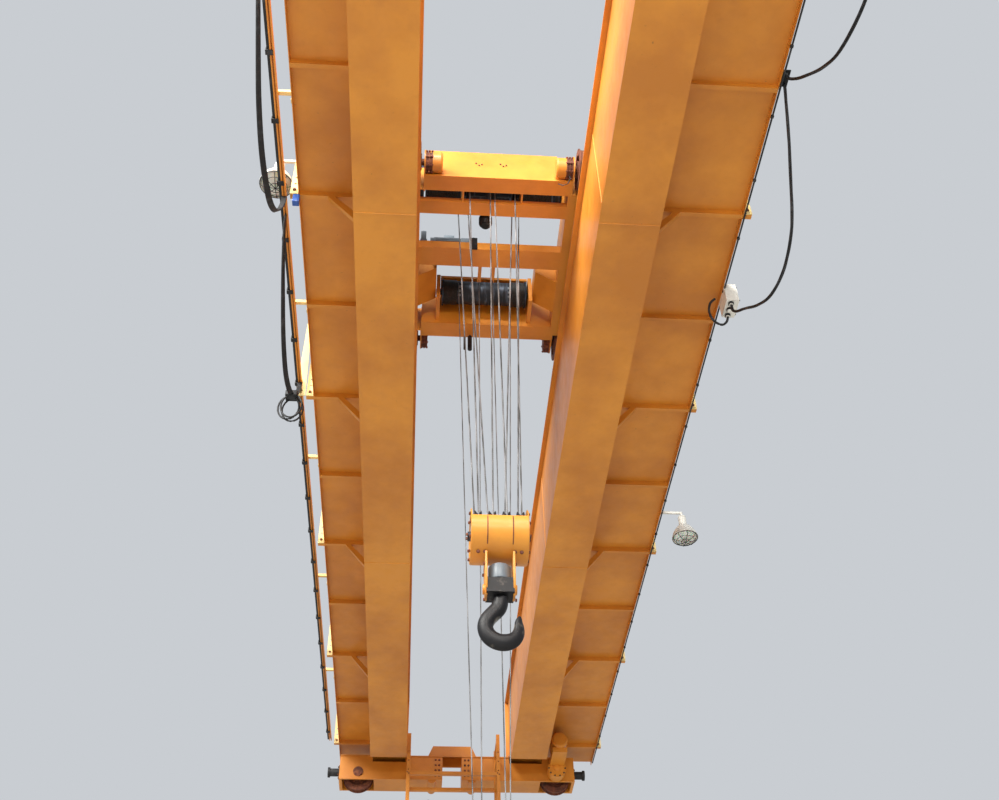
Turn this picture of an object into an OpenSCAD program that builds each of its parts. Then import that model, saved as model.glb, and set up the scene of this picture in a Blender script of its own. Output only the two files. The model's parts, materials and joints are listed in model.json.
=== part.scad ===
// Overhead bridge crane: two box girders on end trucks, with a crab that carries two hoists.
// X runs along the runway, Y along the girders and Z up. The head of the runway rails is at Z = 0,
// and the middle of the bridge is at X = 0, Y = 0.

/* [Bridge] */
// Distance between the two runway rails
span = 22900; // [18000:100:31000]
// Distance between the centres of the girders
girder_pitch = 2500; // [2400:10:2800]
// Depth of a girder over its flanges
girder_depth = 1700; // [1400:10:2000]
// Width of a girder's flanges
flange_w = 640; // [600:10:760]
// Thickness of a girder's flanges
flange_t = 20; // [10:1:30]
// Thickness of a girder's webs
web_t = 12; // [6:1:20]
// Height of the girders' underside above the runway rails
girder_z = 220; // [150:10:300]
// Length of the girder's slope up to the end truck
slope_l = 600; // [300:10:900]
// Gauge of the crab's rails, which stand over the inner webs
gauge = 2000; // [1900:10:2100]
// Width of the crab rail's head
rail_w = 60; // [40:1:80]
// Height of the crab's rails
rail_h = 120; // [80:1:150]

/* [End trucks] */
// Distance between the wheels of an end truck
wheelbase = 3600; // [3200:50:4600]
// Length that an end truck runs on past its wheel pockets
truck_over = 45; // [30:5:200]
// Width of an end truck's box
truck_w = 450; // [400:10:520]
// Height of an end truck's top above the treads of its wheels
truck_cover = 60; // [50:5:120]
// Height of an end truck's underside above the rail
truck_z = 100; // [60:5:140]
// Thickness of an end truck's plates
truck_t = 16; // [10:1:20]
// Diameter of a runway wheel's tread
runway_wheel_d = 500; // [440:10:630]
// Width of a runway wheel over its rims
runway_wheel_w = 150; // [130:5:180]
// Diameter of a runway wheel's axle
runway_axle_d = 120; // [80:5:140]
// Width of the gap in the middle of an end truck
splice_gap = 350; // [200:10:500]
// Height of the raised splice over that gap
splice_rise = 200; // [120:10:300]

/* [Walkways] */
// Width of the left walkway beyond the girder's flange
left_walk_w = 610; // [500:10:900]
// Width of the right walkway beyond the girder's flange
right_walk_w = 995; // [700:5:1300]
// Depth of the walkways' decks below the top of the girders
walk_drop = 1120; // [1050:10:1250]
// Thickness of a deck plate
deck_t = 8; // [5:1:12]
// Distance between the knee braces under a walkway
brace_pitch = 3040; // [2500:20:3600]
// Height of a handrail above its deck
handrail_h = 1050; // [900:10:1200]
// Width of a handrail post at its foot
post_w = 90; // [80:5:120]
// Thickness of a handrail post
post_t = 12; // [8:1:16]

/* [Crab frame] */
// Place of the crab's centre along the girders
crab_y = 925; // [-4000:25:4000]
// Length of the crab's side beams along the girders
crab_l = 2300; // [2250:10:2340]
// Height of the frame's underside above the crab's rails
crab_clear = 80; // [60:5:120]
// Width of a side beam
side_beam_w = 300; // [290:5:340]
// Height of a side beam
side_beam_h = 430; // [380:10:480]
// Height of the tall plate at the crab's near end
end_plate_h = 600; // [520:10:760]
// Thickness of the crab's plates
crab_t = 16; // [10:1:20]
// Diameter of a crab wheel's tread
crab_wheel_d = 450; // [400:10:460]
// Width of a crab wheel over its rims
crab_wheel_w = 130; // [110:5:140]
// Diameter of a crab wheel's axle
crab_axle_d = 80; // [60:5:100]
// Distance between the crab's wheels
crab_wheelbase = 2850; // [2840:10:3100]

/* [Main hoist] */
// Diameter of the rope circle on the main drum
main_drum_d = 500; // [420:10:540]
// Length of the main drum
main_drum_l = 1640; // [1300:10:1680]
// Diameter of the rope circle on the main sheaves
main_sheave_d = 440; // [380:10:460]
// Distance between neighbouring main sheaves
main_sheave_pitch = 130; // [110:5:140]
// Diameter of the main rope
main_rope_d = 18; // [12:1:22]
// Depth of the main block's sheave axle below the runway rails
main_block_depth = 2800; // [1500:10:4000]
// Radius of the main hook's bowl inside
main_bowl_r = 80; // [60:1:100]

/* [Auxiliary hoist] */
// Diameter of the rope circle on the auxiliary drum
aux_drum_d = 320; // [280:10:360]
// Length of the auxiliary drum
aux_drum_l = 1120; // [900:10:1160]
// Diameter of the rope circle on the auxiliary sheaves
aux_sheave_d = 260; // [220:10:300]
// Diameter of the auxiliary rope
aux_rope_d = 13; // [8:1:16]
// Depth of the auxiliary block's sheave axle below the runway rails
aux_block_depth = 7000; // [3000:10:8500]
// Radius of the auxiliary hook's bowl inside
aux_bowl_r = 45; // [35:1:55]

/* [Hidden] */

$fn = 48;

// Colours
crane_yellow = "#E8A020";
pale_yellow = "#F2C230";
wheel_brown = "#6B3A26";
steel_dark = "#33383F";
rope_grey = "#9A9C9E";
hook_black = "#26282B";
lamp_white = "#E6E6E2";

// Clearance between a part and what it seats on
seat_gap = 0.3;

// Girders
girder_x = girder_pitch / 2;
girder_top = girder_z + girder_depth;
truck_y = span / 2;
truck_top = runway_wheel_d + truck_cover;
girder_half_l = truck_y + truck_w / 2;
notch_y = truck_y - truck_w / 2 - 40;
flat_y = notch_y - slope_l;
inner_web_x = gauge / 2;
outer_web_x = girder_pitch - inner_web_x;
rail_top = girder_top + rail_h;
stop_y = flat_y - 150;
stop_h = 330;

// End trucks
runway_rim = 25;
keeper_t = 14;
keeper_d = runway_axle_d * 1.5;
runway_axle_z = runway_wheel_d / 2;
wheel_pocket = runway_wheel_d + 2 * runway_rim + 40;
truck_half_l = wheelbase / 2 + wheel_pocket / 2 + truck_over;
splice_x = -100;
buffer_l = 220;

// Walkways
deck_z = girder_top - walk_drop;
deck_half_l = girder_half_l + 150;
flange_edge = girder_x + flange_w / 2;
web_face = outer_web_x + web_t / 2;
member_h = 80;
member_over = post_w;
brace_y0 = -1040;
brace_margin = 300;
box_y = brace_y0 + 1120;
clamp_ys = [-2650, -5900];
function brace_rows(step) =
  [for (k = [ceil((brace_margin - deck_half_l - brace_y0) / step) :
             floor((deck_half_l - brace_margin - brace_y0) / step)]) brace_y0 + k * step];

// Cable track
track_gap = 170;
track_x = -(flange_edge + left_walk_w + track_gap);
track_z = deck_z + 60;
arm_start = 850;
arm_pitch = 2740;

// Service cage
cage_x = splice_x;
cage_w = 1640;
cage_l = 700;
cage_far_y = truck_y - truck_w / 2 - 60;
cage_near_y = cage_far_y - cage_l;
cage_top_z = truck_top + 60;
cage_step = 550;
cage_floor_z = -1800;

// Crab
crab_z = rail_top + crab_clear;
crab_half_l = crab_l / 2;
side_inner = gauge / 2 - side_beam_w / 2;
side_outer = gauge / 2 + side_beam_w / 2;
side_top = crab_z + side_beam_h;
crab_wheel_z = rail_top + crab_wheel_d / 2;
crab_axle_y = crab_wheelbase / 2;
crab_rim = 18;
cheek_x = crab_wheel_w / 2 + 50;
housing_face_x = gauge / 2 - 205;
hoist_x = -60;
side_reach = side_inner - hoist_x;
sheave_beam_h = 80;
motor_beam_h = 130;
end_web_y = 1142;
main_axis_y = -830;
main_near_y = main_axis_y - main_sheave_d / 2;
upper_sheave_z = crab_z + 400;
upper_sheave_x = 280;
hanger_x = 355;
balance_x = 25;
balance_z = crab_z + 260;
main_drum_y = -600;
main_drum_z = crab_z + 880;
main_drum_fall_y = main_drum_y + main_drum_d / 2 + 2 * seat_gap;
main_drum_fall_x = 400;
aux_drum_y = 740;
aux_drum_z = crab_z + 330;
aux_near_y = aux_drum_y - aux_drum_d / 2 - seat_gap;
aux_inner_y = aux_near_y - aux_sheave_d;
aux_sheave_x = 110;
aux_drum_fall_x = 345;
aux_anchor_x = 87;
aux_anchor_z = crab_z + 100;
aux_deck_z = aux_drum_z + aux_drum_d / 2 + 40;
aux_deck_y0 = 650;
aux_deck_y1 = 1010;
pedestal_reach = side_reach + 50;
aux_pedestal_x = aux_drum_l / 2 + 50;

// Blocks
main_block_z = -main_block_depth;
main_block_y = crab_y + main_axis_y;
main_sheave_xs = [for (i = [-1.5 : 1 : 1.5]) i * main_sheave_pitch];
guard_half = 2 * main_sheave_pitch - 5;
guard_r = main_sheave_d / 2 + 40;
block_cheek_x = 124;
block_cheek_t = 20;
crosshead_z = main_block_z - 500;
crosshead_h = 150;
aux_block_z = -aux_block_depth;
aux_block_y = crab_y + aux_near_y - aux_sheave_d / 2;
aux_head_z = aux_block_z - 270;
aux_head_h = 70;

// A box given by its lowest and highest corners
module span_box(low, high) {
  translate(low) cube(high - low);
}

// A cylinder along X, centred on its middle
module x_cylinder(at, d, l) {
  translate(at) rotate([0, 90, 0]) cylinder(d = d, h = l, center = true);
}

// A cylinder along Y, centred on its middle
module y_cylinder(at, d, l) {
  translate(at) rotate([90, 0, 0]) cylinder(d = d, h = l, center = true);
}

// A round bar between two points
module bar(from, to, d) {
  run = to - from;
  length = norm(run);
  turn = atan2(run[1], run[0]);
  lean = acos(run[2] / length);
  translate(from) rotate([0, lean, turn]) cylinder(d = d, h = length);
}

// An outline in X and Z made into a plate that is centred on y
module cross_plate(y, t) {
  translate([0, y + t / 2, 0]) rotate([90, 0, 0]) linear_extrude(t) children();
}

// An outline in Y and Z made into a plate that is centred on x
module side_plate(x, t) {
  translate([x - t / 2, 0, 0]) rotate([90, 0, 90]) linear_extrude(t) children();
}

// Point on a smooth curve through a list of points, at u counted in points
function on_curve(p, u) =
  let (
    i = min(floor(u), len(p) - 2),
    f = u - i,
    a = p[max(i - 1, 0)],
    b = p[i],
    c = p[i + 1],
    d = p[min(i + 2, len(p) - 1)]
  )
  b + f * (c - a) / 2 + f * f * (2 * a - 5 * b + 4 * c - d) / 2 + f * f * f * (3 * b - a - 3 * c + d) / 2;

// Faces of a tube of rings with n points each, closed at both ends
function tube_faces(rings, n) = concat(
  [[for (j = [n - 1 : -1 : 0]) j]],
  [for (i = [0 : rings - 2]) for (j = [0 : n - 1])
    [i * n + j, i * n + (j + 1) % n, (i + 1) * n + (j + 1) % n, (i + 1) * n + j]],
  [[for (j = [0 : n - 1]) (rings - 1) * n + j]]
);

// Side outline of a girder in Y and Z, drawn in by a plate's thickness
function girder_outline(t) =
  let (
    y_end = girder_half_l - t,
    z_top = girder_top - t,
    z_seat = truck_top + seat_gap + t,
    z_low = girder_z + t,
    drawn = t * slope_l / norm([slope_l, z_seat - z_low]),
    y_notch = notch_y - drawn * 0.6,
    y_flat = flat_y - drawn * 0.6
  )
  [[-y_end, z_top], [y_end, z_top], [y_end, z_seat], [y_notch, z_seat], [y_flat, z_low],
   [-y_flat, z_low], [-y_notch, z_seat], [-y_end, z_seat]];

// One box girder: flanges that follow the outline, and two webs between them
module girder(side) {
  side_plate(side * girder_x, flange_w) difference() {
    polygon(girder_outline(0));
    polygon(girder_outline(flange_t));
  }
  for (x = [inner_web_x, outer_web_x])
    side_plate(side * x, web_t) polygon(girder_outline(flange_t / 2));
}

module girder_left() { color(crane_yellow) girder(-1); }
module girder_right() { color(crane_yellow) girder(1); }

// A crab rail with its foot, web and head
module crab_rail(side) {
  foot_w = rail_w * 2.3;
  foot_t = 16;
  rail_web_t = rail_w * 0.4;
  head_h = rail_h / 3;
  translate([side * gauge / 2, 0, girder_top + seat_gap]) rotate([90, 0, 0])
    linear_extrude(2 * stop_y + 600, center = true)
      polygon([[-foot_w / 2, 0], [foot_w / 2, 0], [foot_w / 2, foot_t * 0.6], [rail_web_t / 2, foot_t * 1.5],
               [rail_web_t / 2, rail_h - head_h * 1.3], [rail_w / 2, rail_h - head_h],
               [rail_w / 2, rail_h - 5],
               [rail_w / 2 - 5, rail_h - seat_gap], [5 - rail_w / 2, rail_h - seat_gap],
               [-rail_w / 2, rail_h - 5],
               [-rail_w / 2, rail_h - head_h], [-rail_web_t / 2, rail_h - head_h * 1.3],
               [-rail_web_t / 2, foot_t * 1.5], [-foot_w / 2, foot_t * 0.6]]);
}

module crab_rail_left() { color(steel_dark) crab_rail(-1); }
module crab_rail_right() { color(steel_dark) crab_rail(1); }

// Stops at the ends of the crab's rails: a braced post and a pad
module crab_end_stops() {
  z0 = girder_top + seat_gap;
  z1 = rail_top + stop_h;
  pad_z = rail_top + crab_wheel_d / 2;
  color(crane_yellow)
    for (side = [-1, 1])
      for (end = [-1, 1])
        side_plate(side * (gauge / 2 + rail_w * 1.15 + 40), 70)
          polygon([[end * stop_y, z0], [end * (stop_y + 300), z0], [end * (stop_y + 60), z1],
                   [end * stop_y, z1], [end * stop_y, pad_z + 50], [end * (stop_y - 60), pad_z + 50],
                   [end * (stop_y - 60), pad_z - 50], [end * stop_y, pad_z - 50]]);
}

// Hollow end truck with wheel pockets at its ends and a raised splice in its middle
module end_truck(end) {
  y = end * truck_y;
  half_w = truck_w / 2;
  hump_half = splice_gap / 2 + 180;
  hump_foot = splice_gap / 2 + 275;
  slot_half = flange_w / 2 - 20;
  lug_x = splice_gap / 2 + 190;
  difference() {
    union() {
      difference() {
        span_box([-truck_half_l, y - half_w, truck_z], [truck_half_l, y + half_w, truck_top]);
        span_box([-truck_half_l + truck_t, y - half_w + truck_t, truck_z + truck_t],
                 [truck_half_l - truck_t, y + half_w - truck_t, truck_top - truck_t]);
      }
      for (z = [truck_z, truck_top - truck_t])
        span_box([-truck_half_l, y - half_w - 20, z], [truck_half_l, y + half_w + 20, z + truck_t]);
      for (face = [-1, 1])
        cross_plate(y + face * (half_w - truck_t / 2), truck_t)
          polygon([[splice_x - hump_foot, truck_top - truck_t], [splice_x + hump_foot, truck_top - truck_t],
                   [splice_x + hump_half, truck_top + splice_rise],
                   [splice_x - hump_half, truck_top + splice_rise]]);
      span_box([splice_x - hump_half, y - half_w, truck_top + splice_rise - truck_t],
               [splice_x + hump_half, y + half_w, truck_top + splice_rise]);
      for (x = [splice_x - splice_gap / 2 - truck_t, splice_x + splice_gap / 2])
        span_box([x, y - half_w, truck_z], [x + truck_t, y + half_w, truck_top]);
      for (side = [-1, 1]) {
        y_cylinder([splice_x + side * lug_x, y, truck_z + 20], 150, truck_w);
        for (wall = [-1, 1])
          span_box([side * wheelbase / 2 + wall * wheel_pocket / 2 - truck_t / 2, y - half_w, truck_z],
                   [side * wheelbase / 2 + wall * wheel_pocket / 2 + truck_t / 2, y + half_w, truck_top]);
      }
    }
    span_box([splice_x - splice_gap / 2, y - half_w - 21, truck_z - 60],
             [splice_x + splice_gap / 2, y + half_w + 21, truck_top]);
    for (side = [-1, 1]) {
      span_box([side * girder_x - slot_half, min(y, y - end * (half_w + 1)), truck_top - 115],
               [side * girder_x + slot_half, max(y, y - end * (half_w + 1)), truck_top - truck_t - 8]);
      span_box([side * wheelbase / 2 - wheel_pocket / 2 + truck_t / 2, y - half_w + truck_t, truck_z - 1],
               [side * wheelbase / 2 + wheel_pocket / 2 - truck_t / 2, y + half_w - truck_t,
                truck_top - truck_t]);
      y_cylinder([side * wheelbase / 2, y, runway_axle_z], runway_axle_d + 2, truck_w + 2);
    }
  }
}

module end_truck_near() { color(crane_yellow) end_truck(-1); }
module end_truck_far() { color(crane_yellow) end_truck(1); }

// Flanged wheel with a hub, turning about Z at the origin
module wheel(d, rim, w) {
  rotate_extrude()
    polygon([[0, -w / 2 - 10], [d * 0.22, -w / 2 - 10], [d * 0.22, -w / 6], [d * 0.38, -w / 6],
             [d * 0.38, -w / 2],
             [d / 2 + rim, -w / 2], [d / 2 + rim, -w / 2 + rim * 0.8], [d / 2, -w / 2 + rim * 0.95],
             [d / 2, w / 2 - rim * 0.95], [d / 2 + rim, w / 2 - rim * 0.8], [d / 2 + rim, w / 2],
             [d * 0.38, w / 2], [d * 0.38, w / 6], [d * 0.22, w / 6], [d * 0.22, w / 2 + 10],
             [0, w / 2 + 10]]);
}

// The four runway wheels on their axles, which are held by a keeper disc outside each truck plate
module runway_wheels() {
  keeper_y = truck_w / 2 + seat_gap;
  color(wheel_brown)
    for (side = [-1, 1])
      for (end = [-1, 1])
        translate([side * wheelbase / 2, end * truck_y, runway_axle_z]) rotate([90, 0, 0]) union() {
          wheel(runway_wheel_d, runway_rim, runway_wheel_w);
          cylinder(d = runway_axle_d, h = 2 * keeper_y + keeper_t, center = true);
          for (face = [-1, 1])
            translate([0, 0, face * (keeper_y + keeper_t / 2)])
              cylinder(d = keeper_d, h = keeper_t, center = true);
        }
}

// Spring buffers at the ends of the end trucks: a foot, a body and a head
module buffers() {
  color(steel_dark)
    for (end = [-1, 1])
      for (side = [-1, 1])
        translate([side * (truck_half_l + seat_gap), end * truck_y, (truck_z + truck_top) / 2])
          rotate([0, side * 90, 0]) rotate_extrude()
            polygon([[0, 0], [130, 0], [130, 20], [70, 20], [70, buffer_l - 40], [90, buffer_l - 40],
                     [90, buffer_l], [0, buffer_l]]);
}

// Travel drive on an end truck's right wheel: gearbox at the truck, brake drum and motor towards the middle.
// The gearbox is on the wheel's axle, and the motor's shaft runs clear of the girder's flange.
module travel_drive(end) {
  inward = -end;
  face_y = end * truck_y + inward * (truck_w / 2 + seat_gap);
  y0 = face_y + inward * 40;
  x = wheelbase / 2;
  motor_x = flange_edge + 230;
  shaft_z = runway_axle_z + 260;
  color(steel_dark) union() {
    difference() {
      y_cylinder([x, face_y + inward * 20.5, runway_axle_z], keeper_d + 80, 41);
      y_cylinder([x, face_y, runway_axle_z], keeper_d + 10, 2 * keeper_t + 6);
    }
    y_cylinder([x, y0 + inward * 100, runway_axle_z], 330, 200);
    hull() {
      y_cylinder([x, y0 + inward * 100, runway_axle_z], 250, 190);
      y_cylinder([motor_x, y0 + inward * 100, shaft_z], 200, 190);
    }
    y_cylinder([motor_x, y0 + inward * 280, shaft_z], 90, 200);
    y_cylinder([motor_x, y0 + inward * 330, shaft_z], 220, 90);
    y_cylinder([motor_x, y0 + inward * 560, shaft_z], 270, 380);
    y_cylinder([motor_x, y0 + inward * 770, shaft_z], 230, 60);
    span_box([motor_x - 130, min(y0 + inward * 60, y0 + inward * 740), runway_axle_z + 40],
             [motor_x + 130, max(y0 + inward * 60, y0 + inward * 740), runway_axle_z + 130]);
    span_box([motor_x - 90, y0 + inward * 560 - 150, runway_axle_z + 120],
             [motor_x + 90, y0 + inward * 560 + 150, shaft_z]);
  }
}

module travel_drive_near() { travel_drive(-1); }
module travel_drive_far() { travel_drive(1); }

// Walkway along the outer side of a girder: deck, edge bar, cross members and knee braces down to the flange
module walkway(side, w) {
  inner = web_face + seat_gap;
  outer = flange_edge + w;
  low = deck_z - member_h;
  brace_x = inner + 0.55 * (flange_edge + 610 - inner);
  brace_low = girder_z + flange_t + 90;
  notch_half_l = girder_half_l - flange_t - seat_gap;
  mirror([side > 0 ? 0 : 1, 0, 0]) union() {
    span_box([inner, -notch_half_l, deck_z - deck_t], [outer, notch_half_l, deck_z]);
    span_box([flange_edge + seat_gap, -deck_half_l, deck_z - deck_t], [outer, deck_half_l, deck_z]);
    span_box([outer - 8, -deck_half_l, deck_z - member_h], [outer, deck_half_l, deck_z + 60]);
    for (y = brace_rows(brace_pitch / 2))
      span_box([inner, y - 25, low], [outer, y + 25, deck_z - deck_t / 2]);
    for (y = brace_rows(brace_pitch)) {
      span_box([outer - 1, y - 30, low], [outer + member_over, y + 30, deck_z - deck_t]);
      if (abs(y) + 25 < flat_y)
        cross_plate(y, 50)
          polygon([[inner, brace_low], [flange_edge - 8, brace_low], [brace_x, low + 1],
                   [brace_x - 75, low + 1], [inner, brace_low + 60]]);
    }
  }
}

module walkway_left() { color(crane_yellow) walkway(-1, left_walk_w); }
module walkway_right() { color(crane_yellow) walkway(1, right_walk_w); }

// Handrail on a walkway's brackets: tapered posts with four holes each, a top rail and a knee rail
module handrail(side, w) {
  inner = flange_edge + w + seat_gap;
  outer = flange_edge + w + post_w;
  z0 = deck_z - member_h;
  z1 = deck_z + handrail_h;
  rows = brace_rows(brace_pitch);
  mirror([side > 0 ? 0 : 1, 0, 0]) union() {
    for (y = rows)
      difference() {
        cross_plate(y - 30 - seat_gap - post_t / 2, post_t)
          polygon([[inner, z0], [outer, z0], [outer, z1], [outer - 55, z1], [inner, z0 + 160]]);
        for (i = [0 : 3])
          y_cylinder([(inner + outer) / 2, y - 30, z0 + 60 + i * 110], 28, 4 * post_t);
      }
    for (z = [z0 + (z1 - z0) * 0.56, z1 - 25])
      span_box([outer - 45, rows[0] - 400, z], [outer - 5, rows[len(rows) - 1] + 400, z + 40]);
  }
}

module handrail_left() { color(pale_yellow) handrail(-1, left_walk_w); }
module handrail_right() { color(pale_yellow) handrail(1, right_walk_w); }

// Cable track: a slotted channel on outboard arms, and the tapered plate that the cables are tied to
module festoon_track() {
  half_l = deck_half_l - 600;
  arm_y0 = arm_start - half_l;
  arm_count = floor((half_l - 150 - arm_y0) / arm_pitch);
  arm_from = -(flange_edge + left_walk_w) - seat_gap;
  tie_y = brace_y0 + brace_pitch - 100;
  tie_low = track_z - 200;
  tie_top = track_z + 1150;
  color(pale_yellow) union() {
    translate([track_x, 0, track_z]) rotate([90, 0, 0]) linear_extrude(2 * half_l, center = true)
      difference() {
        square([44, 44], center = true);
        square([36, 36], center = true);
        translate([0, -20]) square([14, 20], center = true);
      }
    for (i = [0 : arm_count])
      translate([0, arm_y0 + i * arm_pitch, 0]) {
        span_box([track_x - 25, -22, track_z + 20], [arm_from, 22, track_z + 60]);
        span_box([arm_from - 10, -22, deck_z - 60], [arm_from, 22, track_z + 60]);
      }
    cross_plate(tie_y, 12)
      polygon([[track_x - 40, tie_low], [track_x + 80, tie_low], [track_x + 30, tie_top],
               [track_x - 20, tie_top]]);
    span_box([track_x - 30, tie_y - 40, track_z + 10], [track_x + 30, tie_y + 40, track_z + 40]);
  }
}

// Hung service cage of perforated posts and rails in front of the far end truck
module service_cage() {
  bar_w = 60;
  x0 = cage_x - cage_w / 2;
  x1 = cage_x + cage_w / 2;
  rails = [for (z = [cage_floor_z : cage_step : truck_z]) z];
  color(crane_yellow) difference() {
    union() {
      for (x = [x0, x1 - bar_w])
        for (y = [cage_near_y, cage_far_y - bar_w])
          span_box([x, y, cage_floor_z], [x + bar_w, y + bar_w, cage_top_z]);
      for (z = rails) {
        for (y = [cage_near_y, cage_far_y - bar_w])
          span_box([x0, y, z], [x1, y + bar_w, z + bar_w]);
        for (x = [x0, x1 - bar_w])
          span_box([x, cage_near_y, z], [x + bar_w, cage_far_y, z + bar_w]);
      }
      span_box([x0, cage_near_y, cage_floor_z + bar_w - 1], [x1, cage_far_y, cage_floor_z + bar_w + 6]);
      for (x = [x0, x1 - bar_w])
        for (z = [truck_z + 40, truck_top - 80])
          span_box([x, cage_near_y, z], [x + bar_w, truck_y - truck_w / 2 - seat_gap, z + bar_w]);
    }
    for (x = [x0 + bar_w / 2, x1 - bar_w / 2])
      for (i = [0 : 2])
        y_cylinder([x, cage_near_y, truck_z - 160 + i * 170], 26, 2 * bar_w + 20);
  }
}

// Junction box on the right walkway's edge, with the glands of its cables underneath
module junction_box() {
  x = flange_edge + right_walk_w + seat_gap;
  color(lamp_white) union() {
    span_box([x, box_y - 130, deck_z - 300], [x + 140, box_y + 130, deck_z - 20]);
    for (y = [box_y - 90, box_y, box_y + 90])
      translate([x + 55, y, deck_z - 340]) cylinder(d = 50, h = 60);
  }
}

// Clamps on the right walkway's edge, from which the round cables hang
module cable_clamps() {
  x = flange_edge + right_walk_w + seat_gap;
  color(hook_black)
    for (y = clamp_ys)
      union() {
        span_box([x, y - 90, deck_z], [x + 100, y + 90, deck_z + 12]);
        span_box([x, y - 90, deck_z - 60], [x + 10, y + 90, deck_z + 11]);
        translate([x + 80, y, deck_z + 10]) cylinder(d = 24, h = 30);
      }
}

// Bell lamp that hangs from an arm: the arm leaves a walkway's edge, or a post on it where it has a rise
module bell_lamp(side, w, y, reach, rise) {
  x = side * (flange_edge + w + reach);
  edge = side * (flange_edge + w + seat_gap);
  arm_z = deck_z + rise;
  color(lamp_white) union() {
    span_box([min(x, edge), y - 15, arm_z - 30], [max(x, edge), y + 15, arm_z]);
    span_box([min(edge, edge + side * 25), y - 15, deck_z - 60],
             [max(edge, edge + side * 25), y + 15, arm_z]);
    translate([x, y, arm_z - 450]) rotate_extrude()
      polygon([[174, 0], [180, 0], [180, 8], [158, 80], [108, 165], [56, 215], [56, 360], [20, 395],
               [20, 440], [0, 440], [0, 350], [48, 350], [48, 209], [102, 160], [151, 76]]);
  }
}

module lamp_left() { bell_lamp(-1, left_walk_w, brace_y0 + 50, 270, 640); }
module lamp_right() { bell_lamp(1, right_walk_w, brace_y0 + 2 * brace_pitch - 900, 300, -20); }

// A hollow beam across the crab from x0 to x1, in the crab's own Y and up from the crab's underside
module cross_beam(y0, y1, h, x0, x1) {
  difference() {
    span_box([x0, crab_y + y0, crab_z], [x1, crab_y + y1, crab_z + h]);
    span_box([x0 - 1, crab_y + y0 + crab_t, crab_z + crab_t],
             [x1 + 1, crab_y + y1 - crab_t, crab_z + h - crab_t]);
  }
}

// A plate that holds a crab wheel's axle beside the wheel, rounded round the axle
module wheel_cheek(x, end) {
  root = crab_half_l - 40;
  head = crab_axle_y;
  difference() {
    union() {
      side_plate(x, crab_t)
        polygon([[crab_y + end * root, crab_z], [crab_y + end * head, crab_z],
                 [crab_y + end * head, crab_wheel_z + 150], [crab_y + end * root, side_top]]);
      x_cylinder([x, crab_y + end * head, crab_wheel_z], 2 * (crab_wheel_z - crab_z), crab_t);
    }
    x_cylinder([x, crab_y + end * head, crab_wheel_z], crab_axle_d + 40, crab_t + 2);
  }
}

// Crab frame: side beams with wheel cheeks, four cross beams, the tall near plate, haunches and the aux deck.
// The clear opening between the side beams is centred on the hoist line.
module crab_frame() {
  cheek_in = gauge / 2 - cheek_x;
  anchor_y = crab_y + aux_inner_y;
  haunch_in = aux_pedestal_x + 32;
  haunch_l = 515;
  haunch_y = crab_y + 478;
  beam_x0 = hoist_x - side_reach - 1;
  beam_x1 = side_inner + 1;
  deck_x0 = hoist_x - aux_drum_l / 2 - 20;
  deck_x1 = hoist_x + aux_drum_l / 2 + 20;
  color(crane_yellow) union() {
    for (side = [-1, 1]) {
      translate([hoist_x, 0, 0]) mirror([side > 0 ? 0 : 1, 0, 0]) difference() {
        span_box([side_reach, crab_y - crab_half_l, crab_z],
                 [side_reach + side_beam_w, crab_y + crab_half_l, side_top]);
        span_box([side_reach + crab_t, crab_y - crab_half_l + crab_t, crab_z + crab_t],
                 [side_reach + side_beam_w - crab_t, crab_y + crab_half_l - crab_t, side_top - crab_t]);
      }
      for (end = [-1, 1])
        for (face = [-1, 1])
          wheel_cheek(side * gauge / 2 + face * cheek_x, end);
      cross_plate(haunch_y, haunch_l)
        polygon([[hoist_x + side * (side_reach + 1), crab_z], [hoist_x + side * haunch_in, crab_z + 200],
                 [hoist_x + side * haunch_in, side_top], [hoist_x + side * (side_reach + 1), side_top]]);
      span_box([hoist_x + side * aux_anchor_x - 22, crab_y + 14, aux_anchor_z + seat_gap],
               [hoist_x + side * aux_anchor_x + 22, anchor_y + 30, aux_anchor_z + seat_gap + 20]);
    }
    for (end = [-1, 1])
      span_box([beam_x0 - 20, crab_y + end * end_web_y - crab_t / 2, crab_z],
               [5 - cheek_in, crab_y + end * end_web_y + crab_t / 2, side_top]);
    span_box([-cheek_in, crab_y - 1345, crab_z], [cheek_in, crab_y - 1133, crab_z + 30]);
    cross_beam(-1275, -1133, side_beam_h, -cheek_in, cheek_in);
    span_box([hoist_x - 790, crab_y - 1290, crab_z + 10],
             [hoist_x + 790, crab_y - 1274, crab_z + end_plate_h]);
    cross_beam(-975, -790, sheave_beam_h, beam_x0, beam_x1);
    cross_beam(-270, 15, motor_beam_h, beam_x0, beam_x1);
    cross_beam(1000, 1240, aux_deck_z - crab_z, -cheek_in, cheek_in);
    span_box([deck_x0, crab_y + aux_deck_y0, aux_deck_z - 8], [deck_x1, crab_y + aux_deck_y1, aux_deck_z]);
    span_box([deck_x0, crab_y + aux_deck_y0, aux_deck_z - 8],
             [deck_x1, crab_y + aux_deck_y0 + 8, aux_deck_z + 32]);
  }
}

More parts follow.
